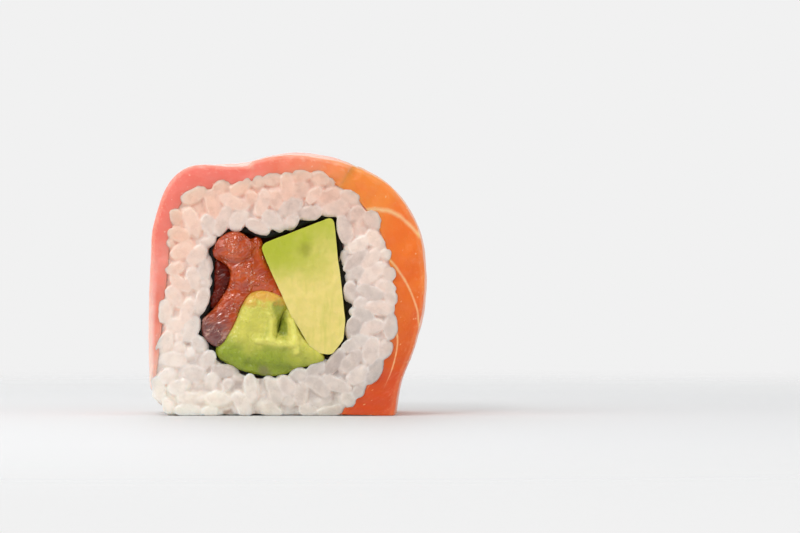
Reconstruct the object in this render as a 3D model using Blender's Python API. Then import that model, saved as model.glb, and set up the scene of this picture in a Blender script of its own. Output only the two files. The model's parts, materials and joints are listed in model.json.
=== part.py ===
"""Rainbow roll: one cut piece of an inside-out sushi roll, standing on its rice.

The roll's axis lies along Y, and its two knife-cut faces look along -Y (front) and +Y (back). A ring of
sushi rice surrounds a sheet of nori, which holds two strips of avocado and three strips of fish. Slices
of tuna, avocado and salmon lie over the rice on a slant, and leave its lower left corner bare.

Outlines are given in the XZ plane as seen from the front, clockwise, in millimetres, with z = 0 on the
board. Shapes are modelled in millimetres and brought to metres when they are finished.
"""

import math
import random

import bmesh
import bpy
import numpy as np
from mathutils import Matrix, Vector

MM = 0.001
WELD = 1e-4
SMOOTH_ANGLE = math.radians(40)

# Driving sizes of the cut piece
DEPTH = 25.6
HALF = DEPTH / 2
GAP = 0.3

# Stations round the roll, from the lower left over the top to the lower right:
# the rice's surface (x, z), then the outer face of the slices that lie on it (x, z)
STATIONS = (
    ((-22.0, 4.4), (-22.7, 4.2)),
    ((-21.5, 11.0), (-23.0, 11.0)),
    ((-20.9, 18.0), (-23.0, 18.0)),
    ((-20.1, 25.0), (-22.7, 25.2)),
    ((-19.6, 31.0), (-22.2, 31.8)),
    ((-17.2, 36.4), (-19.4, 39.0)),
    ((-12.0, 38.4), (-14.0, 41.5)),
    ((-6.0, 39.4), (-7.2, 42.1)),
    ((-1.0, 40.4), (-2.0, 43.3)),
    ((4.0, 40.5), (4.6, 43.7)),
    ((9.0, 38.4), (11.0, 41.8)),
    ((13.8, 34.3), (17.4, 38.0)),
    ((16.7, 28.8), (21.8, 31.4)),
    ((17.9, 22.0), (23.0, 24.0)),
    ((18.1, 16.0), (22.6, 17.0)),
    ((16.6, 10.2), (21.0, 11.0)),
    ((13.4, 4.8), (18.9, 5.4)),
    ((8.8, 0.0), (18.0, 0.0)),
)
LAST_STATION = len(STATIONS) - 1
STATION_SPACING = 5.7
TANGENT_REACH = 0.02
STEPS_PER_POINT = 3
BARE_CORNER = ((-14.0, 0.0), (-19.6, 1.0))

# Slices over the rice, each by four corners (station, share of the depth from the front):
# front left, front right, back left, back right
SLICES = {
    "tuna_topping": ("tuna", (0.0, 0.0), (10.0, 0.0), (0.0, 1.0), (6.5, 1.0)),
    "avocado_topping": ("avocado", (9.86, 0.06), (10.04, 0.06), (6.58, 1.0), (10.78, 1.0)),
    "salmon_topping": ("salmon", (10.06, 0.0), (LAST_STATION, 0.0), (10.86, 1.0), (LAST_STATION, 1.0)),
}
SLICE_INSET = 0.2
SLICE_SWELL = 0.6
COLUMNS_PER_STATION = 3
ROWS = 6
RIM_WIDTH = 0.4
RIM_THICKNESS = 0.82

# The sheet of nori round the filling, by its outer face
NORI = (
    (8.6, 33.2), (9.3, 27.3), (9.9, 22.2), (10.7, 17.4), (10.4, 13.2), (7.6, 9.5),
    (3.4, 8.0), (-1.2, 6.5), (-7.1, 7.1), (-12.3, 10.2), (-14.9, 13.8), (-15.0, 16.2),
    (-13.8, 18.4), (-13.0, 22.0), (-12.9, 26.0), (-12.4, 28.8), (-10.4, 30.9), (-7.2, 31.5),
    (-3.8, 30.6), (-0.7, 31.3), (3.0, 32.8), (6.6, 33.9),
)
NORI_THICKNESS = 0.5
NORI_INSET = 0.7

# Strips of the filling by their smooth outlines: finish, inset of the cut faces, rounding, points
STRIPS = {
    "avocado_fold": ("avocado", 0.4, 0.45, (
        (-6.5, 19.3), (-4.6, 20.3), (-2.2, 19.9), (-0.3, 18.4), (0.8, 15.8), (2.2, 12.8), (4.2, 10.0),
        (2.3, 8.9), (-1.0, 7.5), (-5.0, 7.6), (-8.7, 8.8), (-11.2, 10.6), (-10.0, 12.5), (-8.0, 15.9),
    )),
    "salmon_lobe": ("salmon", 0.2, 0.45, (
        (-11.3, 29.0), (-8.9, 30.4), (-6.6, 29.5), (-5.8, 27.0), (-5.9, 23.5), (-6.4, 20.8),
        (-7.8, 18.0), (-9.3, 14.4), (-11.3, 11.8), (-13.4, 13.2), (-13.9, 15.6), (-12.3, 17.2),
        (-10.4, 19.4), (-9.3, 22.2), (-9.2, 24.7), (-10.5, 26.0), (-11.9, 27.1),
    )),
    "salmon_back": ("salmon", 0.8, 0.3, (
        (-5.3, 29.7), (-4.5, 29.4), (-4.5, 27.5), (-3.3, 24.6), (-1.7, 21.8), (-0.7, 19.6),
        (-2.3, 20.4), (-4.6, 20.8), (-5.9, 20.7), (-5.5, 24.0), (-5.4, 27.4),
    )),
    "tuna_strip": ("tuna_dark", 1.4, 0.3, (
        (-11.8, 25.8), (-10.6, 25.2), (-9.8, 24.2), (-9.9, 22.3), (-10.9, 19.9), (-12.1, 18.2),
        (-12.7, 18.5), (-12.1, 21.8), (-12.0, 24.0),
    )),
}

# The wedge of avocado has straight cut sides, so its outline is corners (x, z, radius)
WEDGE = (
    (-4.2, 28.4, 0.8), (7.6, 33.0, 0.6), (9.6, 16.0, 4.0), (9.3, 12.8, 1.2),
    (7.4, 10.4, 0.9), (4.6, 10.8, 1.5), (1.0, 16.6, 3.0), (-2.6, 24.6, 4.0),
)
WEDGE_ROUNDING = 0.3

# A hollow in the front face of the folded avocado: centre, half sizes and lean
GROOVE_CENTRE = (-1.1, -HALF + 0.4, 15.4)
GROOVE_SIZE = (0.95, 2.2, 3.1)
GROOVE_LEAN = math.radians(14)
GROOVE_SIDES = 16
GROOVE_RINGS = 10

# Rice grains at their true size: half lengths along and across
GRAIN_LONG = (2.3, 2.9)
GRAIN_WIDE = (1.35, 1.6)
GRAIN_SIDES = 6
GRAIN_RINGS = 4
GRAINS_ON_FACE = 84
GRAINS_ON_CORNER = 15
GRAIN_TRIES = 40
CLEAR_OF_RIMS = 0.75
SETTLING_ROUNDS = 150
SETTLING_STEP = 0.06
GRAIN_SINK = 0.88
MOST_TILT = math.radians(65)
CUT_SPREAD = (0.05, 0.5)
CORNER_ROWS = 2
CORNER_SPREAD = (0.05, 0.3)
CORNER_SINK = (0.9, 0.6)
FLOOR_CLEARANCE = 0.15
RICE_INSET = 1.6
SEED = 11

# Colour, roughness
FINISHES = {
    "cooked_rice": ((0.83, 0.77, 0.70, 1.0), 0.35),
    "nori": ((0.02, 0.022, 0.014, 1.0), 0.55),
    "avocado": ((0.62, 0.56, 0.13, 1.0), 0.45),
    "tuna": ((0.93, 0.26, 0.18, 1.0), 0.3),
    "tuna_dark": ((0.21, 0.035, 0.016, 1.0), 0.3),
    "salmon": ((0.85, 0.22, 0.05, 1.0), 0.3),
}


def clear_scene():
    """Removes the startup objects."""
    for thing in list(bpy.data.objects):
        bpy.data.objects.remove(thing, do_unlink=True)


def new_collection(name):
    """A collection linked to the scene."""
    made = bpy.data.collections.new(name)
    bpy.context.scene.collection.children.link(made)
    return made


def finish(name):
    """A new material with the colour and roughness of that finish."""
    colour, roughness = FINISHES[name]
    material = bpy.data.materials.new(name)
    material.use_nodes = True
    shader = material.node_tree.nodes["Principled BSDF"]
    shader.inputs["Base Color"].default_value = colour
    shader.inputs["Roughness"].default_value = roughness
    shader.inputs["Metallic"].default_value = 0.0
    return material


def new_object(shape, name, home):
    """Turns a bmesh into an object of that name in the collection home."""
    mesh = bpy.data.meshes.new(name)
    bmesh.ops.recalc_face_normals(shape, faces=shape.faces)
    shape.to_mesh(mesh)
    shape.free()
    thing = bpy.data.objects.new(name, mesh)
    home.objects.link(thing)
    return thing


def complete(thing, finish_name, smooth):
    """Gives a finished shape its material and shading, and brings it to metres."""
    thing.data.materials.append(finish(finish_name))
    if smooth:
        thing.data.shade_smooth()
        thing.data.set_sharp_from_angle(angle=SMOOTH_ANGLE)
    thing.data.transform(Matrix.Scale(MM, 4))


def smooth_point(points, place, closed):
    """The point at place, counted in points, on a smooth curve through points."""
    count = len(points)
    first = math.floor(place) if closed else min(max(math.floor(place), 0), count - 2)
    share = place - first

    def point(index):
        return Vector(points[index % count] if closed else points[min(max(index, 0), count - 1)])

    before, start, end, after = (point(first + step) for step in (-1, 0, 1, 2))
    span = (end - start).length
    leave = (end - before) * span / (span + (start - before).length)
    arrive = (after - start) * span / (span + (after - end).length)
    square, cube = share**2, share**3
    return (
        start * (2 * cube - 3 * square + 1)
        + leave * (cube - 2 * square + share)
        + end * (3 * square - 2 * cube)
        + arrive * (cube - square)
    )


def smooth_loop(points):
    """A smooth closed outline through points."""
    count = len(points) * STEPS_PER_POINT
    return [smooth_point(points, n / STEPS_PER_POINT, True) for n in range(count)]


def rounded_loop(corners):
    """A closed outline of straight sides whose corners (x, z, radius) are arcs."""
    loop = []
    for index, (x, z, radius) in enumerate(corners):
        corner = Vector((x, z))
        before = (Vector(corners[index - 1][:2]) - corner).normalized()
        after = (Vector(corners[(index + 1) % len(corners)][:2]) - corner).normalized()
        half_angle = before.angle(after) / 2
        middle = corner + (before + after).normalized() * radius / math.sin(half_angle)
        start = (corner + before * radius / math.tan(half_angle) - middle).normalized()
        end = (corner + after * radius / math.tan(half_angle) - middle).normalized()
        for step in range(STEPS_PER_POINT + 1):
            loop.append(middle + start.slerp(end, step / STEPS_PER_POINT) * radius)
    return loop


def grown(loop, distance):
    """The clockwise outline moved outwards by distance, or inwards if it is negative."""
    moved = []
    for index, point in enumerate(loop):
        run = loop[(index + 1) % len(loop)] - loop[index - 1]
        moved.append(point + Vector((-run.y, run.x)).normalized() * distance)
    return moved


def prism(name, loops, inset, rounding, home):
    """A solid of that outline, with any further loops as tunnels, which runs through the roll along Y."""
    curve = bpy.data.curves.new(name, "CURVE")
    curve.dimensions = "2D"
    curve.fill_mode = "BOTH"
    curve.extrude = HALF - inset - rounding
    curve.bevel_depth = rounding
    curve.bevel_resolution = 0
    curve.offset = -rounding
    for loop in loops:
        spline = curve.splines.new("POLY")
        spline.points.add(len(loop) - 1)
        spline.points.foreach_set("co", [value for point in loop for value in (*point, 0.0, 1.0)])
        spline.use_cyclic_u = True
    guide = bpy.data.objects.new(name, curve)
    home.objects.link(guide)
    filled = bpy.data.meshes.new_from_object(guide.evaluated_get(bpy.context.evaluated_depsgraph_get()))
    bpy.data.objects.remove(guide)
    bpy.data.curves.remove(curve)
    shape = bmesh.new()
    shape.from_mesh(filled)
    bpy.data.meshes.remove(filled)
    bmesh.ops.remove_doubles(shape, verts=shape.verts, dist=WELD)
    bmesh.ops.rotate(shape, verts=shape.verts, matrix=Matrix.Rotation(math.radians(90), 3, "X"))
    return new_object(shape, name, home)


def rice_points():
    """The points that the rice's surface runs through, from the board round to the board."""
    return BARE_CORNER + tuple(inner for inner, outer in STATIONS)


def rice_surface(station):
    """The rice's surface at a station, and the direction out of it."""
    place = station + len(BARE_CORNER)
    before, point, after = (
        smooth_point(rice_points(), place + reach, False) for reach in (-TANGENT_REACH, 0.0, TANGENT_REACH)
    )
    return point, Vector((before.y - after.y, after.x - before.x)).normalized()


def rice_loop():
    """The rice's closed outline, with its flat foot on the board."""
    last = (len(rice_points()) - 1) * STEPS_PER_POINT
    loop = [smooth_point(rice_points(), n / STEPS_PER_POINT, False) for n in range(last + 1)]
    return [Vector((point.x, max(point.y, 0.0))) for point in loop]


def over_rice(station, share, height):
    """A point of a slice: share of the depth from the front, and height from 0 on the rice to 1 outside."""
    surface, way_out = rice_surface(station)
    swell = SLICE_SWELL * (1 - (2 * share - 1) ** 2)
    inner = surface + way_out * GAP
    outer = smooth_point([outside for inside, outside in STATIONS], station, False) + way_out * swell
    point = inner.lerp(outer, height)
    return Vector((point.x, (2 * share - 1) * (HALF - SLICE_INSET), max(point.y, 0.0)))


def places(count, rim):
    """Places from 0 to 1, evenly spaced but for a narrow first and last step of rim."""
    inner = [rim + (1 - 2 * rim) * n / (count - 2) for n in range(count - 1)]
    return [0.0, *inner, 1.0]


def draped_slice(name, corners, home):
    """A slice over the rice between four corners (station, share of the depth), with softened rims."""
    front_left, front_right, back_left, back_right = (Vector(corner) for corner in corners)
    stations = max(front_right.x, back_right.x) - min(front_left.x, back_left.x)
    columns = round(stations * COLUMNS_PER_STATION)
    across_places = places(columns, RIM_WIDTH / (STATION_SPACING * stations))
    deep_places = places(ROWS, RIM_WIDTH / DEPTH)
    shape = bmesh.new()
    bmesh.ops.create_grid(shape, x_segments=columns, y_segments=ROWS, size=1.0)
    top = bmesh.ops.extrude_face_region(shape, geom=shape.faces[:])["geom"]
    bmesh.ops.translate(shape, verts=[v for v in top if isinstance(v, bmesh.types.BMVert)], vec=(0, 0, 1))
    for vertex in shape.verts:
        column, row = round((vertex.co.x + 1) / 2 * columns), round((vertex.co.y + 1) / 2 * ROWS)
        across, deep, height = across_places[column], deep_places[row], vertex.co.z
        if column in (0, columns) or row in (0, ROWS):
            height *= RIM_THICKNESS
        station, share = front_left.lerp(front_right, across).lerp(back_left.lerp(back_right, across), deep)
        vertex.co = over_rice(station, share, height)
    return new_object(shape, name, home)


def depth_inside(loop, points):
    """How deep each point lies inside the closed outline, or how far outside it as a negative number."""
    starts = np.array(loop)
    runs = np.roll(starts, -1, axis=0) - starts
    offsets = np.array(points)[:, None] - starts
    shares = np.clip((offsets * runs).sum(-1) / np.maximum((runs**2).sum(-1), 1e-9), 0, 1)
    distances = np.linalg.norm(offsets - shares[..., None] * runs, axis=-1).min(1)
    winding = np.arctan2(
        offsets[..., 0] * np.roll(offsets, -1, 1)[..., 1] - offsets[..., 1] * np.roll(offsets, -1, 1)[..., 0],
        (offsets * np.roll(offsets, -1, 1)).sum(-1),
    ).sum(1)
    return np.where(np.abs(winding) > math.pi, distances, -distances)


class Grain:
    """A grain of rice in a cut face: its place and direction as seen from the front, and its lean inwards."""

    def __init__(self, draw, low, high):
        self.middle = Vector((draw.uniform(low.x, high.x), draw.uniform(low.y, high.y)))
        self.long = draw.uniform(*GRAIN_LONG)
        self.wide = draw.uniform(*GRAIN_WIDE)
        self.turn = draw.uniform(0, math.pi)
        self.tilt = draw.uniform(-MOST_TILT, MOST_TILT)
        self.cut = draw.uniform(*CUT_SPREAD)

    def spine(self):
        """The middle, and the centres of the two round ends, as seen from the front."""
        reach = (self.long - self.wide) * math.cos(self.tilt)
        along = Vector((math.cos(self.turn), math.sin(self.turn))) * reach
        return np.array((self.middle, self.middle - along, self.middle + along))

    def model(self, side, home):
        """The grain as an object whose outer end touches the knife's plane on that side, -1 or 1."""
        knife = HALF - self.cut
        sink = math.hypot(self.long * math.sin(self.tilt), self.wide * math.cos(self.tilt))
        place = Matrix.Translation((self.middle.x, side * (knife - GRAIN_SINK * sink), self.middle.y))
        turned = Matrix.Rotation(-self.turn, 4, "Y") @ Matrix.Rotation(self.tilt, 4, "Z")
        return new_grain(place @ turned, self.long, self.wide, knife, home)


def new_grain(place, long, wide, knife, home):
    """A grain along its own X axis, cut flat where it passes the knife's planes or the board."""
    shape = bmesh.new()
    bmesh.ops.create_uvsphere(shape, u_segments=GRAIN_SIDES, v_segments=GRAIN_RINGS, radius=1.0)
    lengthwise = Matrix.Rotation(math.pi / 2, 4, "Y") @ Matrix.Diagonal((wide, wide, long, 1.0))
    bmesh.ops.transform(shape, verts=shape.verts, matrix=place @ lengthwise)
    for vertex in shape.verts:
        vertex.co.y = max(min(vertex.co.y, knife), -knife)
        vertex.co.z = max(vertex.co.z, FLOOR_CLEARANCE)
    return new_object(shape, "grain", home)


def rim_clearance(spines, outline, tunnel):
    """How far each grain's spine keeps inside both rims of the rice."""
    points = spines.reshape(-1, 2)
    depths = np.minimum(depth_inside(outline, points), -depth_inside(tunnel, points))
    return depths.reshape(len(spines), -1).min(1)


def face_grains(draw, outline, tunnel):
    """Grains over one cut face of the rice, spread out first and then pushed apart between its rims."""
    low = Vector((min(point.x for point in outline), 0.0))
    high = Vector((max(point.x for point in outline), max(point.y for point in outline)))

    def between_rims(grain):
        return rim_clearance(grain.spine()[None], outline, tunnel)[0] > CLEAR_OF_RIMS * grain.wide

    def room(grain):
        return min(((grain.middle - other.middle).length for other in grains), default=0.0)

    grains = []
    while len(grains) < GRAINS_ON_FACE:
        tries = filter(between_rims, [Grain(draw, low, high) for _ in range(GRAIN_TRIES)])
        grains.append(max(tries, key=room))
    widths = np.array([grain.wide for grain in grains])
    spines = np.array([grain.spine() for grain in grains])
    for _ in range(SETTLING_ROUNDS):
        between = spines[:, None, :, None] - spines[None, :, None]
        distances = np.linalg.norm(between, axis=-1) + WELD
        overlaps = np.maximum((widths[:, None] + widths)[..., None, None] - distances, 0.0)
        overlaps[np.diag_indices(len(grains))] = 0.0
        pushes = (overlaps[..., None] * between / distances[..., None]).sum((1, 2, 3))
        moved = spines + SETTLING_STEP * pushes[:, None]
        fits = rim_clearance(moved, outline, tunnel) > CLEAR_OF_RIMS * widths
        spines = np.where(fits[:, None, None], moved, spines)
    for grain, spine in zip(grains, spines):
        grain.middle = Vector(spine[0])
    return grains


def corner_grains(draw, home):
    """Grains along the bare lower left corner, from one cut face to the other, in rows by turns."""
    reach = HALF - GRAIN_WIDE[0]
    low, high = Vector(BARE_CORNER[1]), Vector(STATIONS[0][0])
    for n in range(GRAINS_ON_CORNER):
        row = n % CORNER_ROWS / CORNER_ROWS
        spot = low.lerp(high, row + draw.uniform(*CORNER_SPREAD)) + Vector(CORNER_SINK)
        along = -reach + 2 * reach * n / (GRAINS_ON_CORNER - 1)
        place = Matrix.Translation((spot.x, along, spot.y))
        turned = Matrix.Rotation(draw.uniform(0, math.pi), 4, "X") @ Matrix.Rotation(math.pi / 2, 4, "Z")
        knife = HALF - draw.uniform(*CUT_SPREAD)
        new_grain(place @ turned, draw.uniform(*GRAIN_LONG), draw.uniform(*GRAIN_WIDE), knife, home)


def join_all(core, pieces):
    """Joins the collection's objects to the core by one Boolean union, and removes them."""
    union = core.modifiers.new("union", "BOOLEAN")
    union.operation = "UNION"
    union.operand_type = "COLLECTION"
    union.collection = pieces
    joined = bpy.data.meshes.new_from_object(core.evaluated_get(bpy.context.evaluated_depsgraph_get()))
    core.modifiers.clear()
    core.data = joined
    for piece in list(pieces.objects):
        bpy.data.objects.remove(piece)
    bpy.data.collections.remove(pieces)


def keep_largest(thing):
    """Drops loose scraps and sealed hollows, which are the surfaces apart from the largest one."""
    shape = bmesh.new()
    shape.from_mesh(thing.data)
    left = set(shape.faces)
    surfaces = []
    while left:
        surface, front = set(), [left.pop()]
        while front:
            face = front.pop()
            surface.add(face)
            near = {other for edge in face.edges for other in edge.link_faces} & left
            left -= near
            front.extend(near)
        surfaces.append(surface)
    largest = max(surfaces, key=len)
    scraps = [face for surface in surfaces if surface is not largest for face in surface]
    bmesh.ops.delete(shape, geom=scraps, context="FACES")
    shape.to_mesh(thing.data)
    shape.free()


def make_rice(home):
    """The ring of rice: a core with grains standing out of both cut faces and the bare corner."""
    draw = random.Random(SEED)
    outline = rice_loop()
    tunnel = grown(smooth_loop(NORI), GAP)
    core = prism("rice", (outline, tunnel), RICE_INSET, 0.0, home)
    heap = new_collection("grains")
    for side in (-1, 1):
        for grain in face_grains(draw, outline, tunnel):
            grain.model(side, heap)
    corner_grains(draw, heap)
    join_all(core, heap)
    keep_largest(core)
    complete(core, "cooked_rice", False)


def make_nori(home):
    """The sheet of nori, a closed sleeve round the filling."""
    outside = smooth_loop(NORI)
    sleeve = prism("nori", (outside, grown(outside, -NORI_THICKNESS)), NORI_INSET, 0.0, home)
    complete(sleeve, "nori", True)


def make_slices(home):
    """The slices of fish and avocado over the rice."""
    for name, (finish_name, *corners) in SLICES.items():
        complete(draped_slice(name, corners, home), finish_name, True)


def cut_groove(strip, home):
    """Cuts the hollow in the front face of the folded avocado."""
    shape = bmesh.new()
    bmesh.ops.create_uvsphere(shape, u_segments=GROOVE_SIDES, v_segments=GROOVE_RINGS, radius=1.0)
    leaned = Matrix.Rotation(GROOVE_LEAN, 4, "Y")
    scaled = Matrix.Diagonal((*GROOVE_SIZE, 1.0))
    bmesh.ops.transform(shape, verts=shape.verts, matrix=Matrix.Translation(GROOVE_CENTRE) @ leaned @ scaled)
    cutter = new_object(shape, "groove_cutter", home)
    cutter.data.transform(Matrix.Scale(MM, 4))
    cutter.hide_render = True
    cutter.display_type = "WIRE"
    groove = strip.modifiers.new("groove", "BOOLEAN")
    groove.operation = "DIFFERENCE"
    groove.object = cutter


def make_strips(home, cutters):
    """The strips of avocado and fish inside the nori."""
    wedge = prism("avocado_wedge", (rounded_loop(WEDGE),), 0.0, WEDGE_ROUNDING, home)
    complete(wedge, "avocado", True)
    for name, (finish_name, inset, rounding, points) in STRIPS.items():
        strip = prism(name, (smooth_loop(points),), inset, rounding, home)
        complete(strip, finish_name, True)
    cut_groove(home.objects["avocado_fold"], cutters)


def main():
    """Builds the rainbow roll."""
    clear_scene()
    home = new_collection("rainbow_roll")
    cutters = new_collection("cutters")
    make_rice(home)
    make_nori(home)
    make_strips(home, cutters)
    make_slices(home)


main()
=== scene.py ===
"""Looks of the rainbow roll: one upright cut piece of an inside-out roll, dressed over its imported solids.

Shapes are modelled in millimetres in the frame of the solids: the roll's axis lies along Y, the front cut
face looks along -Y, and z = 0 is the board. Every finished mesh is then brought to metres.
"""

import json
import logging
import math
from dataclasses import dataclass
from enum import Enum
from typing import Any

import bmesh
import bpy
import numpy as np
from mathutils import Matrix, Vector, kdtree, noise

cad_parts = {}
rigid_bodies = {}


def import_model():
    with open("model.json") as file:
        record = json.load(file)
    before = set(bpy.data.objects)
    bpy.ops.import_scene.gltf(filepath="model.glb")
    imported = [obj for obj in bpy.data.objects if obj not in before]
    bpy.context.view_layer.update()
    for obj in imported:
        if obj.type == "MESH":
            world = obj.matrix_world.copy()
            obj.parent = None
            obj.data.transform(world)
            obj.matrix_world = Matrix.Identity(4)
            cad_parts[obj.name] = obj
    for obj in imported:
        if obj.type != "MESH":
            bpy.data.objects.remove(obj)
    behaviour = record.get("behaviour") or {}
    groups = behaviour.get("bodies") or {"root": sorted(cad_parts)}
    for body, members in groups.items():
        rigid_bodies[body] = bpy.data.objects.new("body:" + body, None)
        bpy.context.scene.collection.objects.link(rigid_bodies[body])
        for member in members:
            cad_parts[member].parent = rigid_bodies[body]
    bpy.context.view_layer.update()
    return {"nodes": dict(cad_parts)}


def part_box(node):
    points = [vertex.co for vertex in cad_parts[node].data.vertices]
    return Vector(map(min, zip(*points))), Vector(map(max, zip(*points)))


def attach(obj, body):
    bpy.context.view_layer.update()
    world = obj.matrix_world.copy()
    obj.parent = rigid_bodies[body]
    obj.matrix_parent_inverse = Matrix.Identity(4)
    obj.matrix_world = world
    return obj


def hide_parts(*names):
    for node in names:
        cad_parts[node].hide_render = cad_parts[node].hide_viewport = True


MM = 0.001
BODY = "root"
LOG = logging.getLogger("rainbow_roll")

# Short names for types: a linear colour with its alpha, two and three numbers, a socket, a shape being made
Colour = tuple[float, ...]
Pair = tuple[float, float]
Triple = tuple[float, float, float]
Socket = bpy.types.NodeSocket
Shape = bmesh.types.BMesh

# The columns of a place that give its spot (x, z) in the cross-section
SECTION = [0, 2]

# Stations round the roll, from the lower left over the top to the lower right:
# the rice's surface (x, z), then the outer face of the slices that lie on it (x, z)
STATIONS = (
    (-22.0, 4.4, -22.7, 4.2),
    (-21.5, 11.0, -23.0, 11.0),
    (-20.9, 18.0, -23.0, 18.0),
    (-20.1, 25.0, -22.7, 25.2),
    (-19.6, 31.0, -22.2, 31.8),
    (-17.2, 36.4, -19.4, 39.0),
    (-12.0, 38.4, -14.0, 41.5),
    (-6.0, 39.4, -7.2, 42.1),
    (-1.0, 40.4, -2.0, 43.3),
    (4.0, 40.5, 4.6, 43.7),
    (9.0, 38.4, 11.0, 41.8),
    (13.8, 34.3, 17.4, 38.0),
    (16.7, 28.8, 21.8, 31.4),
    (17.9, 22.0, 23.0, 24.0),
    (18.1, 16.0, 22.6, 17.0),
    (16.6, 10.2, 21.0, 11.0),
    (13.4, 4.8, 18.9, 5.4),
    (8.8, 0.0, 18.0, 0.0),
)
STATION_SPACING = 5.7
BARE_CORNER = ((-14.0, 0.0), (-19.6, 1.0))

# The outer face of the nori (x, z), clockwise as seen from the front
NORI_LOOP = (
    (8.6, 33.2), (9.3, 27.3), (9.9, 22.2), (10.7, 17.4), (10.4, 13.2), (7.6, 9.5),
    (3.4, 8.0), (-1.2, 6.5), (-7.1, 7.1), (-12.3, 10.2), (-14.9, 13.8), (-15.0, 16.2),
    (-13.8, 18.4), (-13.0, 22.0), (-12.9, 26.0), (-12.4, 28.8), (-10.4, 30.9), (-7.2, 31.5),
    (-3.8, 30.6), (-0.7, 31.3), (3.0, 32.8), (6.6, 33.9),
)

for startup in list(bpy.data.objects):
    bpy.data.objects.remove(startup, do_unlink=True)
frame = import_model()
HALF = -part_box("avocado_wedge")[0].y / MM


class Side(Enum):
    """Where a bed of grains lies: behind one of the cut faces, or along the foot between them."""

    FRONT = -1
    BACK = 1
    FOOT = 0


class Slot(Enum):
    """The material slots that the pieces are given."""

    RICE = "cooked_rice"
    NORI = "nori"
    AVOCADO = "avocado"
    FILLING_SALMON = "filling_salmon"
    FILLING_TUNA = "filling_tuna"
    TUNA = "tuna"
    SALMON = "salmon"


def linear(red: int, green: int, blue: int) -> Colour:
    """A colour as seen, from 0 to 255, as the linear one that a shader takes, with an alpha of 1."""
    shares = (value / 255 for value in (red, green, blue))
    return (*(s / 12.92 if s < 0.04045 else ((s + 0.055) / 1.055) ** 2.4 for s in shares), 1.0)


def sideways(runs: np.ndarray) -> np.ndarray:
    """Unit directions to the left of runs (x, z), which is outwards on a clockwise line."""
    across = np.stack((-runs[:, 1], runs[:, 0]), axis=1)
    return across / np.linalg.norm(across, axis=1, keepdims=True)


@dataclass(frozen=True)
class Line:
    """A smooth line through points of the cross-section, open or closed.

    NUDGE is the step to either side that finds its direction, and TICKS the steps from point to point that
    measure its length.
    """

    points: np.ndarray
    closed: bool = False

    NUDGE = 0.02
    TICKS = 40

    def at(self, places: np.ndarray) -> np.ndarray:
        """Points on the line.

        Args:
            places: places along the line, counted in its points.

        Returns:
            One (x, z) row for each place.
        """
        count = len(self.points)
        first = np.floor(places).astype(int)
        if not self.closed:
            first = np.clip(first, 0, count - 2)
        share = (places - first)[:, None]

        def point(index: np.ndarray) -> np.ndarray:
            """The points of those numbers."""
            return self.points[index % count if self.closed else np.clip(index, 0, count - 1)]

        def length(run: np.ndarray) -> np.ndarray:
            """The lengths of those runs."""
            return np.linalg.norm(run, axis=1, keepdims=True)

        before, start, end, after = (point(first + step) for step in (-1, 0, 1, 2))
        span = length(end - start)
        leave = (end - before) * span / (span + length(start - before))
        arrive = (after - start) * span / (span + length(after - end))
        square, cube = share**2, share**3
        return (
            start * (2 * cube - 3 * square + 1)
            + leave * (cube - 2 * square + share)
            + end * (3 * square - 2 * cube)
            + arrive * (cube - square)
        )

    def way_out(self, places: np.ndarray) -> np.ndarray:
        """Unit directions out of the clockwise line at those places."""
        return sideways(self.at(places + self.NUDGE) - self.at(places - self.NUDGE))

    def arc_at(self, places: np.ndarray) -> np.ndarray:
        """Millimetres along the line from its first point to each place.

        Args:
            places: places along the line, counted in its points.

        Returns:
            One length for each place.
        """
        ticks = np.linspace(0, len(self.points) - 1, self.TICKS * len(self.points))
        steps = np.linalg.norm(np.diff(self.at(ticks), axis=0), axis=1)
        return np.interp(places, ticks, np.concatenate(([0.0], np.cumsum(steps))))

    def loop(self, steps: int) -> np.ndarray:
        """The line as a polygon, with steps points for each of its own."""
        end = 0 if self.closed else 1
        return self.at(np.arange((len(self.points) - end) * steps + end) / steps)


RICE_LINE = Line(np.array(BARE_CORNER + tuple(station[:2] for station in STATIONS)))
OUTER_LINE = Line(np.array([station[2:] for station in STATIONS]))
COVERED_LINE = Line(np.array(BARE_CORNER + tuple(station[2:] for station in STATIONS)))
MIDDLE_LINE = Line(np.array([((s[0] + s[2]) / 2, (s[1] + s[3]) / 2) for s in STATIONS]))
NORI_LINE = Line(np.array(NORI_LOOP), closed=True)


def rough(points: np.ndarray, wavelength: float, seed: float = 0.0, octaves: int = 2) -> np.ndarray:
    """Smooth noise at points.

    Args:
        points: one row of three coordinates for each point, in millimetres.
        wavelength: the size of the largest lumps, in millimetres.
        seed: moves the pattern, so that two pieces differ.
        octaves: how many finer layers the noise has.

    Returns:
        One value for each point, from about -1 to 1.
    """
    shift = Vector((seed * 17.3, seed * 5.1, seed * 9.7))
    return np.array(
        [noise.fractal(Vector(point) / wavelength + shift, 1.0, 2.0, octaves) for point in points]
    )


def rough_along(values: np.ndarray, wavelength: float, seed: float, octaves: int = 2) -> np.ndarray:
    """Smooth noise at places along one axis, as rough gives it in space."""
    return rough(np.stack((values, 0 * values, 0 * values), axis=1), wavelength, seed, octaves)


def hump(distance: np.ndarray, width: float, power: int = 2) -> np.ndarray:
    """A soft hump: 1 at distance 0, falling away past width, more steeply with a higher power."""
    return np.exp(-((distance / width) ** power))


def ease(shares: np.ndarray, crowding: float) -> np.ndarray:
    """Even shares from 0 to 1 moved towards both ends, by crowding from 0 to under 1."""
    return shares - crowding * np.sin(2 * math.pi * shares) / (2 * math.pi)


def smoothstep(values: np.ndarray, low: float, high: float) -> np.ndarray:
    """A smooth rise from 0 at low to 1 at high."""
    share = np.clip((values - low) / (high - low), 0, 1)
    return share * share * (3 - 2 * share)


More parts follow.
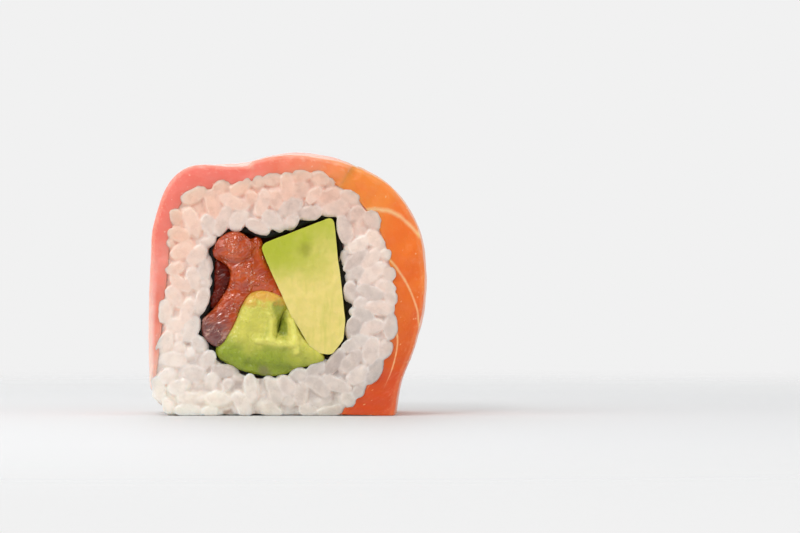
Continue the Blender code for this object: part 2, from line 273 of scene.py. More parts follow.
def coordinates(shape: Shape) -> np.ndarray:
    """The vertices' places, one row each."""
    return np.array([vertex.co for vertex in shape.verts])


def set_coordinates(shape: Shape, places: np.ndarray) -> None:
    """Moves the vertices to those places."""
    for vertex, place in zip(shape.verts, places):
        vertex.co = place


def set_marks(shape: Shape, marks: dict[str, np.ndarray]) -> None:
    """Gives each vertex its values, as attributes of those names.

    Args:
        shape: the shape that is marked.
        marks: for each attribute's name, a number for each vertex.
    """
    for name, values in marks.items():
        layer = shape.verts.layers.float.new(name)
        for vertex, value in zip(shape.verts, values):
            vertex[layer] = value


# Shader nodes


class Paint:
    """Adds nodes to a node tree, with inputs given as plain values or as other nodes' outputs."""

    def __init__(self, tree: bpy.types.NodeTree) -> None:
        """Works on that tree."""
        self.tree = tree

    def link(self, value: Socket, target: Socket) -> None:
        """Leads an output to an input."""
        self.tree.links.new(value, target)

    def node(self, kind: str, inputs: dict[str | int, Any] | None = None, **settings: Any) -> bpy.types.Node:
        """Adds a node.

        Args:
            kind: the node's type without its ShaderNode prefix.
            inputs: values or output sockets by input name or number.
            settings: the node's own properties.

        Returns:
            The new node.
        """
        made = self.tree.nodes.new("ShaderNode" + kind)
        for name, value in settings.items():
            setattr(made, name, value)
        for key, value in (inputs or {}).items():
            if isinstance(value, Socket):
                self.link(value, made.inputs[key])
            else:
                made.inputs[key].default_value = value
        return made

    def group(self, tree: bpy.types.NodeTree, **inputs: Any) -> bpy.types.Node:
        """Places a shader node group."""
        return self.node("Group", inputs, node_tree=tree)

    def math(self, operation: str, first: Any, second: Any = 0.0, third: Any = 0.0) -> Socket:
        """The result of a Math node."""
        return self.node("Math", {0: first, 1: second, 2: third}, operation=operation).outputs[0]

    def times(self, first: Any, *others: Any) -> Socket:
        """The product of two or more numbers.

        Args:
            first: a number or its socket.
            *others: the numbers that multiply it, in turn.

        Returns:
            The product's socket.
        """
        for other in others:
            first = self.math("MULTIPLY", first, other)
        return first

    def rise(self, value: Any, low: float, high: float, top: float = 1.0, start: float = 0.0) -> Socket:
        """A smooth change from start, where value is low, to top, where it is high."""
        inputs = {"Value": value, "From Min": low, "From Max": high, "To Min": start, "To Max": top}
        return self.node("MapRange", inputs, interpolation_type="SMOOTHSTEP").outputs[0]

    def fall(self, value: Any, low: float, high: float, start: float = 1.0, end: float = 0.0) -> Socket:
        """A smooth change from start, where value is low, down to end, where it is high."""
        return self.rise(value, low, high, end, start)

    def mix(self, share: Any, first: Any, second: Any, blend: str = "MIX") -> Socket:
        """Two colours mixed by that share of the second."""
        inputs = {0: share, 6: first, 7: second}
        return self.node("Mix", inputs, data_type="RGBA", blend_type=blend, clamp_factor=True).outputs[2]

    def layers(self, base: Any, *coats: tuple) -> Socket:
        """A colour with coats over it, one after the other.

        Args:
            base: the colour underneath.
            *coats: for each coat a share, a colour and, unless it is MIX, a blend.

        Returns:
            The colour's socket.
        """
        for share, colour, *blend in coats:
            base = self.mix(share, base, colour, *blend)
        return base

    def mark(self, name: str, output: str = "Fac") -> Socket:
        """What the mesh's attribute of that name says, as a number or, by output, as a vector."""
        return self.node("Attribute", attribute_name=name).outputs[output]

    def mapped(self, vector: Any, **inputs: Triple) -> Socket:
        """The vector turned by Rotation and stretched by Scale."""
        return self.node("Mapping", {"Vector": vector} | inputs).outputs[0]

    def place(self) -> Socket:
        """Object coordinates in millimetres."""
        return self.mapped(self.node("TexCoord").outputs["Object"], Scale=(1 / MM,) * 3)

    def axes(self, vector: Any) -> tuple[Socket, ...]:
        """The three numbers of a vector."""
        return tuple(self.node("SeparateXYZ", {0: vector}).outputs)

    def measure(self, operation: str, first: Any, second: Any = (0.0, 0.0, 0.0)) -> Socket:
        """The number that a Vector Math node gives."""
        return self.node("VectorMath", {0: first, 1: second}, operation=operation).outputs["Value"]

    def noise(self, vector: Any, scale: Any, detail: float = 2.0, **inputs: float) -> Socket:
        """Noise from 0 to 1, with scale lumps for each unit of vector."""
        values = {"Vector": vector, "Scale": scale, "Detail": detail} | inputs
        return self.node("TexNoise", values).outputs[0]

    def bump(self, height: Any, distance: float, strength: float = 1.0) -> Socket:
        """The normal of a surface with that relief, distance millimetres deep."""
        relief = {"Height": height, "Distance": distance * MM, "Strength": strength}
        return self.node("Bump", relief).outputs[0]


class Effects:
    """The shader node groups that several finishes share, each built once."""

    def __init__(self) -> None:
        """Builds every group."""
        self.mottling = self._mottling()
        self.fibres = self._fibres()
        self.flecks = self._flecks()

    @staticmethod
    def _open(name: str, numbers: tuple[str, ...], outputs: tuple[str, ...]) -> tuple[Paint, Any, Any]:
        """Starts a group that takes a vector and some numbers.

        Args:
            name: the group's name.
            numbers: the names of the numbers that it takes.
            outputs: the names of the numbers that it gives.

        Returns:
            The group's paint, the sockets of what it is given, and those of its results.
        """
        tree = bpy.data.node_groups.new(name, "ShaderNodeTree")
        tree.interface.new_socket("Vector", in_out="INPUT", socket_type="NodeSocketVector")
        for direction, labels in (("INPUT", numbers), ("OUTPUT", outputs)):
            for label in labels:
                tree.interface.new_socket(label, in_out=direction, socket_type="NodeSocketFloat")
        given, result = (tree.nodes.new("NodeGroup" + end) for end in ("Input", "Output"))
        return Paint(tree), given.outputs, result.inputs

    def _mottling(self) -> bpy.types.NodeTree:
        """Soft uneven patches, from 0 to 1, in lumps of the given Size.

        Returns:
            The group's node tree.
        """
        paint, given, result = self._open("soft_mottling", ("Size",), ("Mask",))
        broad = paint.noise(given["Vector"], paint.math("DIVIDE", 1.0, given["Size"]), 3.0, Roughness=0.55)
        paint.link(paint.rise(broad, 0.32, 0.68), result["Mask"])
        return paint.tree

    def _fibres(self) -> bpy.types.NodeTree:
        """Fine wavering streaks that run along the vector's first axis.

        Returns:
            The group's node tree.
        """
        paint, given, result = self._open("fine_fibres", ("Spacing", "Length"), ("Mask", "Height"))
        along, across = (paint.math("DIVIDE", 1.0, given[size]) for size in ("Length", "Spacing"))
        scale = paint.node("CombineXYZ", {0: along, 1: across, 2: across}).outputs[0]
        stretched = paint.node("VectorMath", {0: given["Vector"], 1: scale}, operation="MULTIPLY").outputs[0]
        streaks = paint.noise(stretched, 1.0, 3.0, Roughness=0.6, Distortion=0.4)
        paint.link(paint.rise(streaks, 0.5, 0.72), result["Mask"])
        paint.link(streaks, result["Height"])
        return paint.tree

    def _flecks(self) -> bpy.types.NodeTree:
        """Small scattered flecks: Amount, from 0 to 1, says how many of the cells hold one.

        Returns:
            The group's node tree.
        """
        paint, given, result = self._open("small_flecks", ("Size", "Amount"), ("Mask",))
        scale = paint.math("DIVIDE", 0.5, given["Size"])
        cells = paint.node("TexVoronoi", {"Vector": given["Vector"], "Scale": scale}).outputs
        chosen = paint.node("SeparateColor", {0: cells["Color"]}).outputs[0]
        few = paint.math("LESS_THAN", chosen, given["Amount"])
        wander = paint.noise(given["Vector"], paint.times(scale, 3.0))
        edge = paint.math("MULTIPLY_ADD", wander, 0.35, cells["Distance"])
        paint.link(paint.times(paint.fall(edge, 0.28, 0.46), few), result["Mask"])
        return paint.tree


EFFECTS = Effects()


def mottled(paint: Paint, vector: Socket, size: float) -> Socket:
    """The mask of soft patches of that size."""
    return paint.group(EFFECTS.mottling, Vector=vector, Size=size).outputs["Mask"]


def flecked(paint: Paint, vector: Socket, size: float, amount: float) -> Socket:
    """The mask of small flecks of that size, in that share of the cells."""
    return paint.group(EFFECTS.flecks, Vector=vector, Size=size, Amount=amount).outputs["Mask"]


def fibrous(paint: Paint, vector: Socket, spacing: float, length: float) -> tuple[Socket, Socket]:
    """The mask and the height of fine fibres along the vector's first axis."""
    return tuple(paint.group(EFFECTS.fibres, Vector=vector, Spacing=spacing, Length=length).outputs)


# Finishes


@dataclass(frozen=True)
class Finish:
    """What a moist surface of food has in common. scatter_depth is in millimetres."""

    name: str
    roughness: float
    scatter: float = 0.0
    scatter_depth: float = 1.0
    scatter_tint: Triple = (1.0, 0.5, 0.3)
    coat: float = 0.0
    coat_roughness: float = 0.12
    specular: float = 0.5
    sheen: float = 0.0

    def material(self) -> bpy.types.Material:
        """Makes the material: the even values here, and the uneven ones by dress.

        Returns:
            The new material.
        """
        made = bpy.data.materials.new(self.name)
        made.use_nodes = True
        shader = made.node_tree.nodes["Principled BSDF"]
        even = {
            "Roughness": self.roughness,
            "Subsurface Weight": self.scatter,
            "Subsurface Radius": self.scatter_tint,
            "Subsurface Scale": self.scatter_depth * MM,
            "Coat Weight": self.coat,
            "Coat Roughness": self.coat_roughness,
            "Specular IOR Level": self.specular,
            "Sheen Weight": self.sheen,
        }
        for socket, value in even.items():
            shader.inputs[socket].default_value = value
        paint = Paint(made.node_tree)
        for socket, value in self.dress(paint).items():
            paint.link(value, shader.inputs[socket])
        return made

    def dress(self, paint: Paint) -> dict[str, Socket]:
        """The outputs that feed the shader's uneven inputs, by input name."""
        raise NotImplementedError


@dataclass(frozen=True)
class RiceFinish(Finish):
    """Cooked rice: moist, translucent, each grain a little different, with a painted warm glow by the fish,
    pale seams of painted light, painted shade, and a green tint near the board.
    """

    white: Colour = linear(247, 236, 227)
    # grey of the random tones, also the colour of painted shade
    grey_and_shade: Colour = linear(197, 186, 179)
    # painted shade in the gaps between grains, and its warm painted glow by the fish
    gap_shade: Colour = linear(150, 118, 98)
    gap_glow: Colour = linear(236, 176, 128)
    # pale colour of painted light on seams and flanks
    glow_white: Colour = linear(254, 248, 244)
    # tint of the painted warm glow that the fish casts on the rice
    glow_tint: Colour = linear(255, 221, 206)
    # painted warm glow on grain flanks by the slices
    glow_fringe: Colour = linear(255, 186, 158)
    # faint green tint near the board
    board_green: Colour = linear(254, 255, 249)

    def dress(self, paint: Paint) -> dict[str, Socket]:
        """Tones by grain with painted shade, pale seams of painted light, a painted warm glow by the fish, a
        green tint near the board, dull fringes of painted warm glow, and pits of painted shade.

        Args:
            paint: adds the nodes to the finish's material.

        Returns:
            A socket for each of the shader's inputs that the finish feeds.
        """
        place = paint.place()
        fish_glow, glow_fringe = paint.mark("fish_glow"), paint.mark("glow_fringe")
        cloud = paint.times(mottled(paint, place, 1.6), 0.3)
        # the tone mark holds each grain's random tone together with painted shade low on the right
        shade = paint.math("MULTIPLY_ADD", paint.mark("tone_and_shade"), 0.7, cloud)
        colour = paint.layers(
            paint.mix(shade, self.white, self.grey_and_shade),
            # painted light: seams where grains meet and their flanks painted pale, for light through
            # translucent edges
            (paint.rise(paint.mark("seam_glow"), 0.1, 0.9, 0.7), self.glow_white),
            # painted warm light from the fish, strongest high up
            (fish_glow, self.glow_tint, "MULTIPLY"),
            # a faint green tint towards the board
            (paint.mark("board_tint"), self.board_green, "MULTIPLY"),
            # painted warm glow on grain flanks beside the slices
            (glow_fringe, self.glow_fringe),
            # painted shade in the gaps between grains, a painted warm glow near the fish
            (paint.mark("gap_shade"), paint.mix(fish_glow, self.gap_shade, self.gap_glow)),
        )
        uneven = paint.rise(paint.noise(place, 0.9), 0.3, 0.7, 0.3)
        dull = paint.math("MULTIPLY_ADD", glow_fringe, 0.6, self.roughness)
        return {
            "Base Color": colour,
            "Normal": paint.bump(paint.noise(place, 1.4, 3.0), 0.1, 0.4),
            "Roughness": paint.math("ADD", uneven, dull),
        }


@dataclass(frozen=True)
class NoriFinish(Finish):
    """Damp nori: almost black, with a green cast and crossing fibres."""

    black: Colour = linear(8, 8, 7)
    green: Colour = linear(26, 28, 16)

    def dress(self, paint: Paint) -> dict[str, Socket]:
        """Blotches of green over black, and a crinkled face.

        Args:
            paint: adds the nodes to the finish's material.

        Returns:
            A socket for each of the shader's inputs that the finish feeds.
        """
        place = paint.place()
        crinkle = paint.noise(place, 1.1, 4.0, Roughness=0.65)
        return {
            "Base Color": paint.mix(paint.times(mottled(paint, place, 1.8), 0.6), self.black, self.green),
            "Normal": paint.bump(crinkle, 0.35, 0.8),
        }


@dataclass(frozen=True)
class AvocadoFinish(Finish):
    """Avocado flesh, from green by the skin to pale yellow by the stone.

    green_at and pale_at are the points (x, z) in millimetres where the green ends and the pale flesh begins.
    The stain fades in over stain_rise above the height stain_above, and 0 there means that there is none.
    The bruise fades out between the two distances of bruise_reach. Sunken relief is painted darker as
    painted shade, and raised relief paler as a painted highlight.
    """

    green: Colour = linear(184, 192, 50)
    flesh: Colour = linear(240, 220, 132)
    green_at: Pair = (0.0, 30.0)
    pale_at: Pair = (4.0, 18.0)
    bruise_at: Pair | None = None
    bruise_reach: Pair = (0.5, 1.9)
    bruise: Colour = linear(150, 152, 38)
    # hollow is the colour of painted shade in sunken relief, ridge that of a painted highlight on raised
    # relief
    hollow: Colour = linear(124, 138, 36)
    ridge_highlight: Colour = linear(238, 232, 120)
    stain: Colour = linear(238, 160, 70)
    stain_above: float = 0.0
    stain_rise: float = 2.4
    relief: float = 0.3

    def ripeness(self, paint: Paint, place: Socket) -> Socket:
        """How far a place lies from the green side, 0, to the pale side, 1, a little unevenly.

        Args:
            paint: adds the nodes to the finish's material.
            place: the socket of the place, in millimetres.

        Returns:
            The share's socket.
        """
        run = Vector(self.pale_at) - Vector(self.green_at)
        direction = run / run.length_squared
        reach = paint.measure("DOT_PRODUCT", place, (direction.x, 0.0, direction.y))
        uneven = paint.math("MULTIPLY_ADD", mottled(paint, place, 5.0), 0.34, reach)
        return paint.math("SUBTRACT", uneven, direction.dot(Vector(self.green_at)) + 0.17)

    def dress(self, paint: Paint) -> dict[str, Socket]:
        """The change from green to pale, soft blotches, faint knife marks, painted shade in hollows, painted
        highlights on ridges, a stain and a small bruise.

        Args:
            paint: adds the nodes to the finish's material.

        Returns:
            A socket for each of the shader's inputs that the finish feeds.
        """
        place = paint.place()
        height = paint.axes(place)[2]
        relief = paint.mark("relief")
        cloud = mottled(paint, place, 1.4)
        upright = paint.mapped(place, Rotation=(0.0, 0.12, 0.0), Scale=(0.8, 0.5, 0.12))
        coats = [
            (paint.times(cloud, 0.16), self.green),
            (paint.rise(paint.noise(upright, 1.0, 3.0), 0.5, 0.7, 0.28), self.green),
            # painted shade: sunken relief painted darker
            (paint.rise(paint.times(relief, -1.0), 0.05, 0.5, 0.85), self.hollow),
            # painted highlight: raised relief painted paler
            (paint.rise(relief, 0.15, 0.6, 0.7), self.ridge_highlight),
        ]
        if self.stain_above:
            reach = paint.math("MULTIPLY_ADD", cloud, 1.5, height)
            stained = paint.rise(reach, self.stain_above, self.stain_above + self.stain_rise, 0.65)
            coats.append((stained, self.stain))
        if self.bruise_at:
            away = paint.measure("DISTANCE", place, (self.bruise_at[0], -HALF, self.bruise_at[1]))
            edge = paint.math("MULTIPLY_ADD", cloud, 0.4, away)
            coats.append((paint.fall(edge, *self.bruise_reach, 0.6), self.bruise))
        flesh = paint.mix(paint.rise(self.ripeness(paint, place), 0.0, 1.0), self.green, self.flesh)
        grain = paint.noise(place, 0.7, 3.0, Roughness=0.55)
        return {"Base Color": paint.layers(flesh, *coats), "Normal": paint.bump(grain, self.relief)}


@dataclass(frozen=True)
class FillingFishFinish(Finish):
    """Raw fish inside the roll: deep and pale flesh, small flecks, painted glints on wet drops, and a
    membrane low on the left whose pale silvery streaks are partly painted glints.

    right_from is the x where another flesh starts to take over on the right, within right_fade. The membrane
    thins out where x + z nears membrane_end, over the distances membrane_fade before and past it.
    """

    deep: Colour = linear(170, 74, 40)
    pale: Colour = linear(214, 122, 92)
    # pale colour of flecks, of the membrane's streaks and of painted glints
    fleck_and_glint: Colour = linear(236, 190, 170)
    membrane: Colour = linear(112, 74, 74)
    membrane_end: float | None = None
    membrane_fade: Pair = (-4.0, 3.5)
    right_deep: Colour | None = None
    right_pale: Colour | None = None
    right_from: float = -9.0
    right_fade: float = 5.0
    fleck_share: float = 0.1
    grain_turn: float = 0.5
    relief: float = 0.8
    drops: float = 0.4
    # how strongly glints are painted on the wet drops
    glints: float = 0.75

    def dress(self, paint: Paint) -> dict[str, Socket]:
        """Blotched flesh with fine fibres, flecks, wet lumps and drops, painted glints on the drops, and
        what only some strips have.

        Args:
            paint: adds the nodes to the finish's material.

        Returns:
            A socket for each of the shader's inputs that the finish feeds.
        """
        place = paint.place()
        right, _, up = paint.axes(place)
        blotch = mottled(paint, place, 3.2)
        turned = paint.mapped(place, Rotation=(0.0, self.grain_turn, 0.0))
        coats = []
        if self.right_deep:
            reach = paint.math("MULTIPLY_ADD", blotch, 1.5, right)
            share = paint.rise(reach, self.right_from, self.right_from + self.right_fade)
            coats.append((share, paint.mix(blotch, self.right_deep, self.right_pale)))
        if self.membrane_end is not None:
            reach = paint.math("MULTIPLY_ADD", blotch, 3.0, paint.math("ADD", right, up))
            film = paint.fall(reach, *(self.membrane_end + step for step in self.membrane_fade), 0.85)
            silver, _ = fibrous(paint, turned, 1.1, 3.2)
            # the membrane's pale silvery streaks, partly painted glints
            coats += [(film, self.membrane), (paint.times(film, silver, 0.75), self.fleck_and_glint)]
        fibres, _ = fibrous(paint, turned, 0.5, 4.0)
        drops = paint.noise(place, 2.4, 1.0)
        wet = paint.rise(paint.noise(place, 0.6), 0.52, 0.64)
        coats += [
            (paint.times(fibres, 0.2), self.pale),
            (paint.times(flecked(paint, place, 0.3, self.fleck_share), 0.75), self.fleck_and_glint),
            # painted glints: pale spots on the tops of the wet drops
            (paint.times(wet, paint.rise(drops, 0.6, 0.72, self.glints)), self.fleck_and_glint),
        ]
        stretched = paint.mapped(turned, Scale=(0.6, 1.0, 1.4))
        lumps = paint.times(paint.noise(stretched, 0.5, Roughness=0.45, Distortion=0.5), self.relief)
        height = paint.math("MULTIPLY_ADD", paint.times(drops, wet), self.drops, lumps)
        flesh = paint.mix(blotch, self.deep, self.pale)
        return {"Base Color": paint.layers(flesh, *coats), "Normal": paint.bump(height, 1.0)}


@dataclass(frozen=True)
class SliceFishFinish(Finish):
    """Raw fish sliced over the roll. Patterns follow the slice: u round the roll, v across it, h outwards.

    stops are the colours of the flesh at distances u, and reach is a distance past the last of them. The
    tuna's first stops are paler, as painted light low on the left, and the salmon's last ones darker, as
    painted shade low on the right. Up to the distance thin_to the outer skin is thin and painted pale, as
    painted light, less and less over the last thin_fade of that.
    Lines of fat lie fat_period apart from fat_start on, lean with the height by fat_lean and more by
    fat_turn for each millimetre round, run across by fat_slant, and fade out between the two of fat_end.
    """

    stops: tuple[tuple[float, Colour], ...] = ((0.0, linear(250, 150, 128)),)
    deep: Colour = linear(250, 224, 214)
    pale: Colour = linear(255, 190, 160)
    outer: Colour = linear(230, 116, 90)
    outer_share: float = 0.65
    skin: float = 0.4
    streaks: float = 0.16
    reach: float = 110.0
    fat_period: float = 0.0
    fat_start: float = 0.0
    fat_end: Pair = (100.0, 105.0)
    fat_lean: float = 0.7
    fat_turn: float = 0.089
    fat_slant: float = 1.2
    fat_wander: float = 1.2
    fat_width: float = 0.05
    # the share of cells with small flecks, which are partly painted glints
    fleck_share: float = 0.11
    # pale colour painted on the thin outer skin low on the left, as painted light
    thin: Colour = linear(255, 224, 216)
    thin_to: float | None = None
    thin_fade: float = 14.0

    def dress(self, paint: Paint) -> dict[str, Socket]:
        """Blotched flesh with fine fibres, lines of fat, a paler outer skin, and small flecks that are
        partly painted glints.

        Args:
            paint: adds the nodes to the finish's material.

        Returns:
            A socket for each of the shader's inputs that the finish feeds.
        """
        lay = paint.mark("lay", "Vector")
        around, deep, _ = paint.axes(lay)
        blotch = mottled(paint, lay, 9.0)
        around = paint.math("MULTIPLY_ADD", blotch, 3.0, around)
        turned = paint.mapped(lay, Rotation=(0.0, 0.0, math.atan2(1.0, self.fat_slant)))
        fibres, fibre_height = fibrous(paint, turned, 0.55, 9.0)
        height = paint.mark("skin")
        outside = paint.rise(height, 0.5, 0.95)
        from_cut = paint.math("PINGPONG", deep, HALF)
        middle = paint.times(outside, paint.rise(from_cut, 0.5, 5.0, self.outer_share))
        coats = [(blotch, self.deep, "MULTIPLY"), (paint.rise(height, 0.9, 1.0, self.skin), self.pale)]
        if self.thin_to is not None:
            # painted light: the thin outer skin low on the left painted paler
            low = paint.fall(around, self.thin_to - self.thin_fade, self.thin_to)
            coats.append((paint.times(low, paint.rise(height, 0.5, 1.0, 0.65)), self.thin))
        more_outside = paint.math("MULTIPLY_ADD", outside, 0.8, 0.2)
        coats += [
            (middle, self.outer),
            (paint.times(middle, mottled(paint, turned, 3.5), 0.35), self.pale),
            (paint.times(paint.mark("rim"), outside, 0.5), self.pale),
            (paint.times(fibres, more_outside, self.streaks), self.pale),
        ]
        if self.fat_period:
            behind = paint.times(outside, paint.rise(from_cut, 0.3, 2.5))
            thin_lines = self.fat(paint, lay, self.fat_period / 4, 0.15, 0.5)
            coats += [
                (self.fat(paint, lay, self.fat_period, self.fat_width, 0.85), self.pale),
                (paint.times(thin_lines, behind), self.pale),
            ]
        # small pale flecks, partly painted glints
        coats.append((paint.times(flecked(paint, lay, 0.35, self.fleck_share), 0.6), self.pale))
        relief = paint.math("MULTIPLY_ADD", fibre_height, 0.6, paint.noise(paint.place(), 0.5, 3.0))
        colour = paint.layers(self.flesh(paint, around), *coats)
        return {"Base Color": colour, "Normal": paint.bump(relief, 0.3, 0.6)}

    def flesh(self, paint: Paint, around: Socket) -> Socket:
        """The colour of the flesh at distances round the roll, with painted light in the tuna's first stops
        and painted shade in the salmon's last ones.

        Args:
            paint: adds the nodes to the finish's material.
            around: the socket of the distance round the roll.

        Returns:
            The colour's socket.
        """
        ramp = paint.node("ValToRGB", {0: paint.math("DIVIDE", around, self.reach)})
        for distance, colour in self.stops[1:]:
            ramp.color_ramp.elements.new(distance / self.reach).color = colour
        for end in (0, -1):
            ramp.color_ramp.elements[end].color = self.stops[end][1]
        return ramp.outputs[0]

    def fat(self, paint: Paint, lay: Socket, period: float, width: float, top: float) -> Socket:
        """Wavering, broken lines of fat through the slice.

        Args:
            paint: the material's nodes.
            lay: the slice's own coordinates.
            period: how far apart the lines lie.
            width: the share of that which is fat, to one side of a line's middle.
            top: the strongest a line gets.

        Returns:
            The mask of the lines.
        """
        around, deep, outwards = paint.axes(lay)
        past = paint.math("SUBTRACT", around, self.fat_start)
        lean = paint.math("MULTIPLY_ADD", past, self.fat_turn, self.fat_lean)
        slanted = paint.math("MULTIPLY_ADD", deep, self.fat_slant, past)
        reach = paint.math("SUBTRACT", slanted, paint.times(lean, outwards))
        wander = paint.math("SUBTRACT", paint.noise(lay, 0.14), 0.5)
        reach = paint.math("MULTIPLY_ADD", wander, self.fat_wander, reach)
        away = paint.math("PINGPONG", paint.math("DIVIDE", reach, period), 0.5)
        ragged = paint.math("SUBTRACT", paint.noise(lay, 0.8, 3.0, Roughness=0.65), 0.5)
        lines = paint.fall(paint.math("MULTIPLY_ADD", ragged, width, away), -0.2 * width, 1.2 * width)
        patchy = paint.rise(paint.noise(lay, 0.22, 3.0), 0.34, 0.58)
        whole_at_cut = paint.math("MAXIMUM", patchy, paint.fall(deep, 0.6, 4.0))
        return paint.times(lines, whole_at_cut, paint.fall(around, *self.fat_end, top))


@dataclass(frozen=True)
class SliceAvocadoFinish(Finish):
    """Avocado sliced thin over the roll: green by the tuna, yellow in the middle."""

    green: Colour = linear(140, 158, 42)
    flesh: Colour = linear(208, 206, 84)

    def dress(self, paint: Paint) -> dict[str, Socket]:
        """Long soft bands along the slice, deeper green by its left edge, and smooth dents.

        Args:
            paint: adds the nodes to the finish's material.

        Returns:
            A socket for each of the shader's inputs that the finish feeds.
        """
        lay = paint.mark("lay", "Vector")
        along = paint.mapped(lay, Rotation=(0.0, 0.0, 0.65), Scale=(0.22, 0.07, 0.22))
        bands = paint.rise(paint.noise(along, 1.0, 3.0), 0.42, 0.7, 0.6)
        wander = paint.math("MULTIPLY_ADD", paint.noise(lay, 0.3, 3.0), -7.0, paint.mark("from_left"))
        by_edge = paint.fall(wander, -4.0, 2.5, 1.0, 0.1)
        clouded = paint.math("MULTIPLY_ADD", mottled(paint, lay, 1.6), 0.15, bands)
        return {
            "Base Color": paint.mix(paint.math("MAXIMUM", by_edge, clouded), self.flesh, self.green),
            "Normal": paint.bump(paint.noise(lay, 0.5, 3.0), 0.9, 0.6),
        }


# Pieces


def linked(name: str, data: Any) -> bpy.types.Object:
    """A new object with that data, in the scene.

    Args:
        name: the object's name.
        data: its mesh, its lamp or its camera data.

    Returns:
        The object, at the origin.
    """
    thing = bpy.data.objects.new(name, data)
    bpy.context.scene.collection.objects.link(thing)
    return thing


@dataclass
class Piece:
    """A shown piece of the roll: its name, its finish, its slot and the solids that it stands for."""

    name: str
    finish: Finish
    slot: Slot
    nodes: tuple[str, ...]

    def shape(self) -> Shape:
        """The piece's shape in millimetres."""
        raise NotImplementedError

    def build(self) -> bpy.types.Object:
        """Makes the piece, dresses it and ties it to the frame.

        Returns:
            The finished object.
        """
        made = self.shape()
        mesh = bpy.data.meshes.new(self.name)
        made.to_mesh(mesh)
        made.free()
        mesh.transform(Matrix.Scale(MM, 4))
        mesh.shade_smooth()
        mesh.materials.append(self.finish.material())
        thing = linked(self.name, mesh)
        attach(thing, BODY)
        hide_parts(*self.nodes)
        LOG.info("%s: %d faces", self.name, len(mesh.polygons))
        return thing


class RiceField:
    """How far places of the cross-section lie inside the ring of rice, read from a fine square lattice."""

    PITCH = 0.25
    LOW = (-27.0, -4.0)
    COUNTS = (208, 200)

    def __init__(self) -> None:
        """Measures the lattice's points against the rice's outline and its tunnel."""
        across, up = (low + self.PITCH * np.arange(n) for low, n in zip(self.LOW, self.COUNTS))
        spots = np.stack(np.meshgrid(across, up, indexing="ij"), axis=-1).reshape(-1, 2)
        outer = self._inside(RICE_LINE.loop(4), spots)
        tunnel = self._inside(NORI_LINE.loop(3), spots)
        self.to_slices = outer.reshape(self.COUNTS)
        self.cover = self._inside(COVERED_LINE.loop(4), spots).reshape(self.COUNTS)
        self.inwards = np.stack(np.gradient(self.cover, self.PITCH), axis=-1)
        self.free = np.minimum(outer, -tunnel).reshape(self.COUNTS)
        self.slope = np.stack(np.gradient(self.free, self.PITCH), axis=-1)

    @staticmethod
    def _inside(loop: np.ndarray, spots: np.ndarray) -> np.ndarray:
        """How deep spots lie inside a closed outline, or outside it as negative numbers.

        Args:
            loop: the outline's points (x, z), in their order.
            spots: one row (x, z) for each spot.

        Returns:
            One depth for each spot, in millimetres.
        """
        runs = np.roll(loop, -1, axis=0) - loop
        nearest = np.full(len(spots), np.inf)
        winding = np.zeros(len(spots))
        for start, run in zip(loop, runs):
            offset = spots - start
            share = np.clip(offset @ run / max(run @ run, 1e-9), 0, 1)
            nearest = np.minimum(nearest, np.linalg.norm(offset - share[:, None] * run, axis=1))
            ahead = offset - run
            cross = offset[:, 0] * ahead[:, 1] - offset[:, 1] * ahead[:, 0]
            winding += np.arctan2(cross, (offset * ahead).sum(1))
        return np.where(np.abs(winding) > math.pi, nearest, -nearest)

    def look(self, values: np.ndarray, spots: np.ndarray) -> np.ndarray:
        """The lattice's values at spots (x, z), smoothly between its points.

        Args:
            values: what each point of the lattice holds, a number or a row of them.
            spots: one row (x, z) for each spot.

        Returns:
            What the lattice holds at each spot.
        """
        cells = (spots - self.LOW) / self.PITCH
        cells = np.clip(cells, 0, np.array(self.COUNTS) - 1.001)
        first = cells.astype(int)
        share = cells - first
        total = 0.0
        for right in (0, 1):
            for above in (0, 1):
                weight = np.abs(1 - right - share[..., 0]) * np.abs(1 - above - share[..., 1])
                corner = values[first[..., 0] + right, first[..., 1] + above]
                total = total + (weight if corner.ndim == weight.ndim else weight[..., None]) * corner
        return total


def grown(loop: np.ndarray, distance: float) -> np.ndarray:
    """The clockwise outline moved outwards, or inwards by a negative distance."""
    return loop + sideways(np.roll(loop, -1, axis=0) - np.roll(loop, 1, axis=0)) * distance


def trimmed(places: np.ndarray, clearance: float = 0.02) -> np.ndarray:
    """The places cut flat by the knife's two planes and, clearance above it, by the board.

    Args:
        places: one row of coordinates for each place, which it changes.
        clearance: how far above the board the lowest of them stay.

    Returns:
        The same rows.
    """
    places[:, 1] = np.clip(places[:, 1], -HALF, HALF)
    places[:, 2] = np.maximum(places[:, 2], clearance)
    return places


def prism(loops: tuple[np.ndarray, ...], near: float, far: float) -> Shape:
    """A solid drawn out along the roll.

    Args:
        loops: its closed outlines (x, z), the outer one and any round a hole.
        near: the place along Y where it starts.
        far: the place where it ends.

    Returns:
        The closed solid.
    """
    made = bmesh.new()
    edges = []
    for loop in loops:
        verts = [made.verts.new((x, near, z)) for x, z in loop]
        edges += [made.edges.new(pair) for pair in zip(verts, verts[1:] + verts[:1])]
    filled = bmesh.ops.triangle_fill(made, edges=edges, use_beauty=True)["geom"]
    faces = [item for item in filled if isinstance(item, bmesh.types.BMFace)]
    moved = bmesh.ops.extrude_face_region(made, geom=faces)["geom"]
    end = [item for item in moved if isinstance(item, bmesh.types.BMVert)]
    bmesh.ops.translate(made, verts=end, vec=(0, far - near, 0))
    bmesh.ops.recalc_face_normals(made, faces=made.faces)
    return made


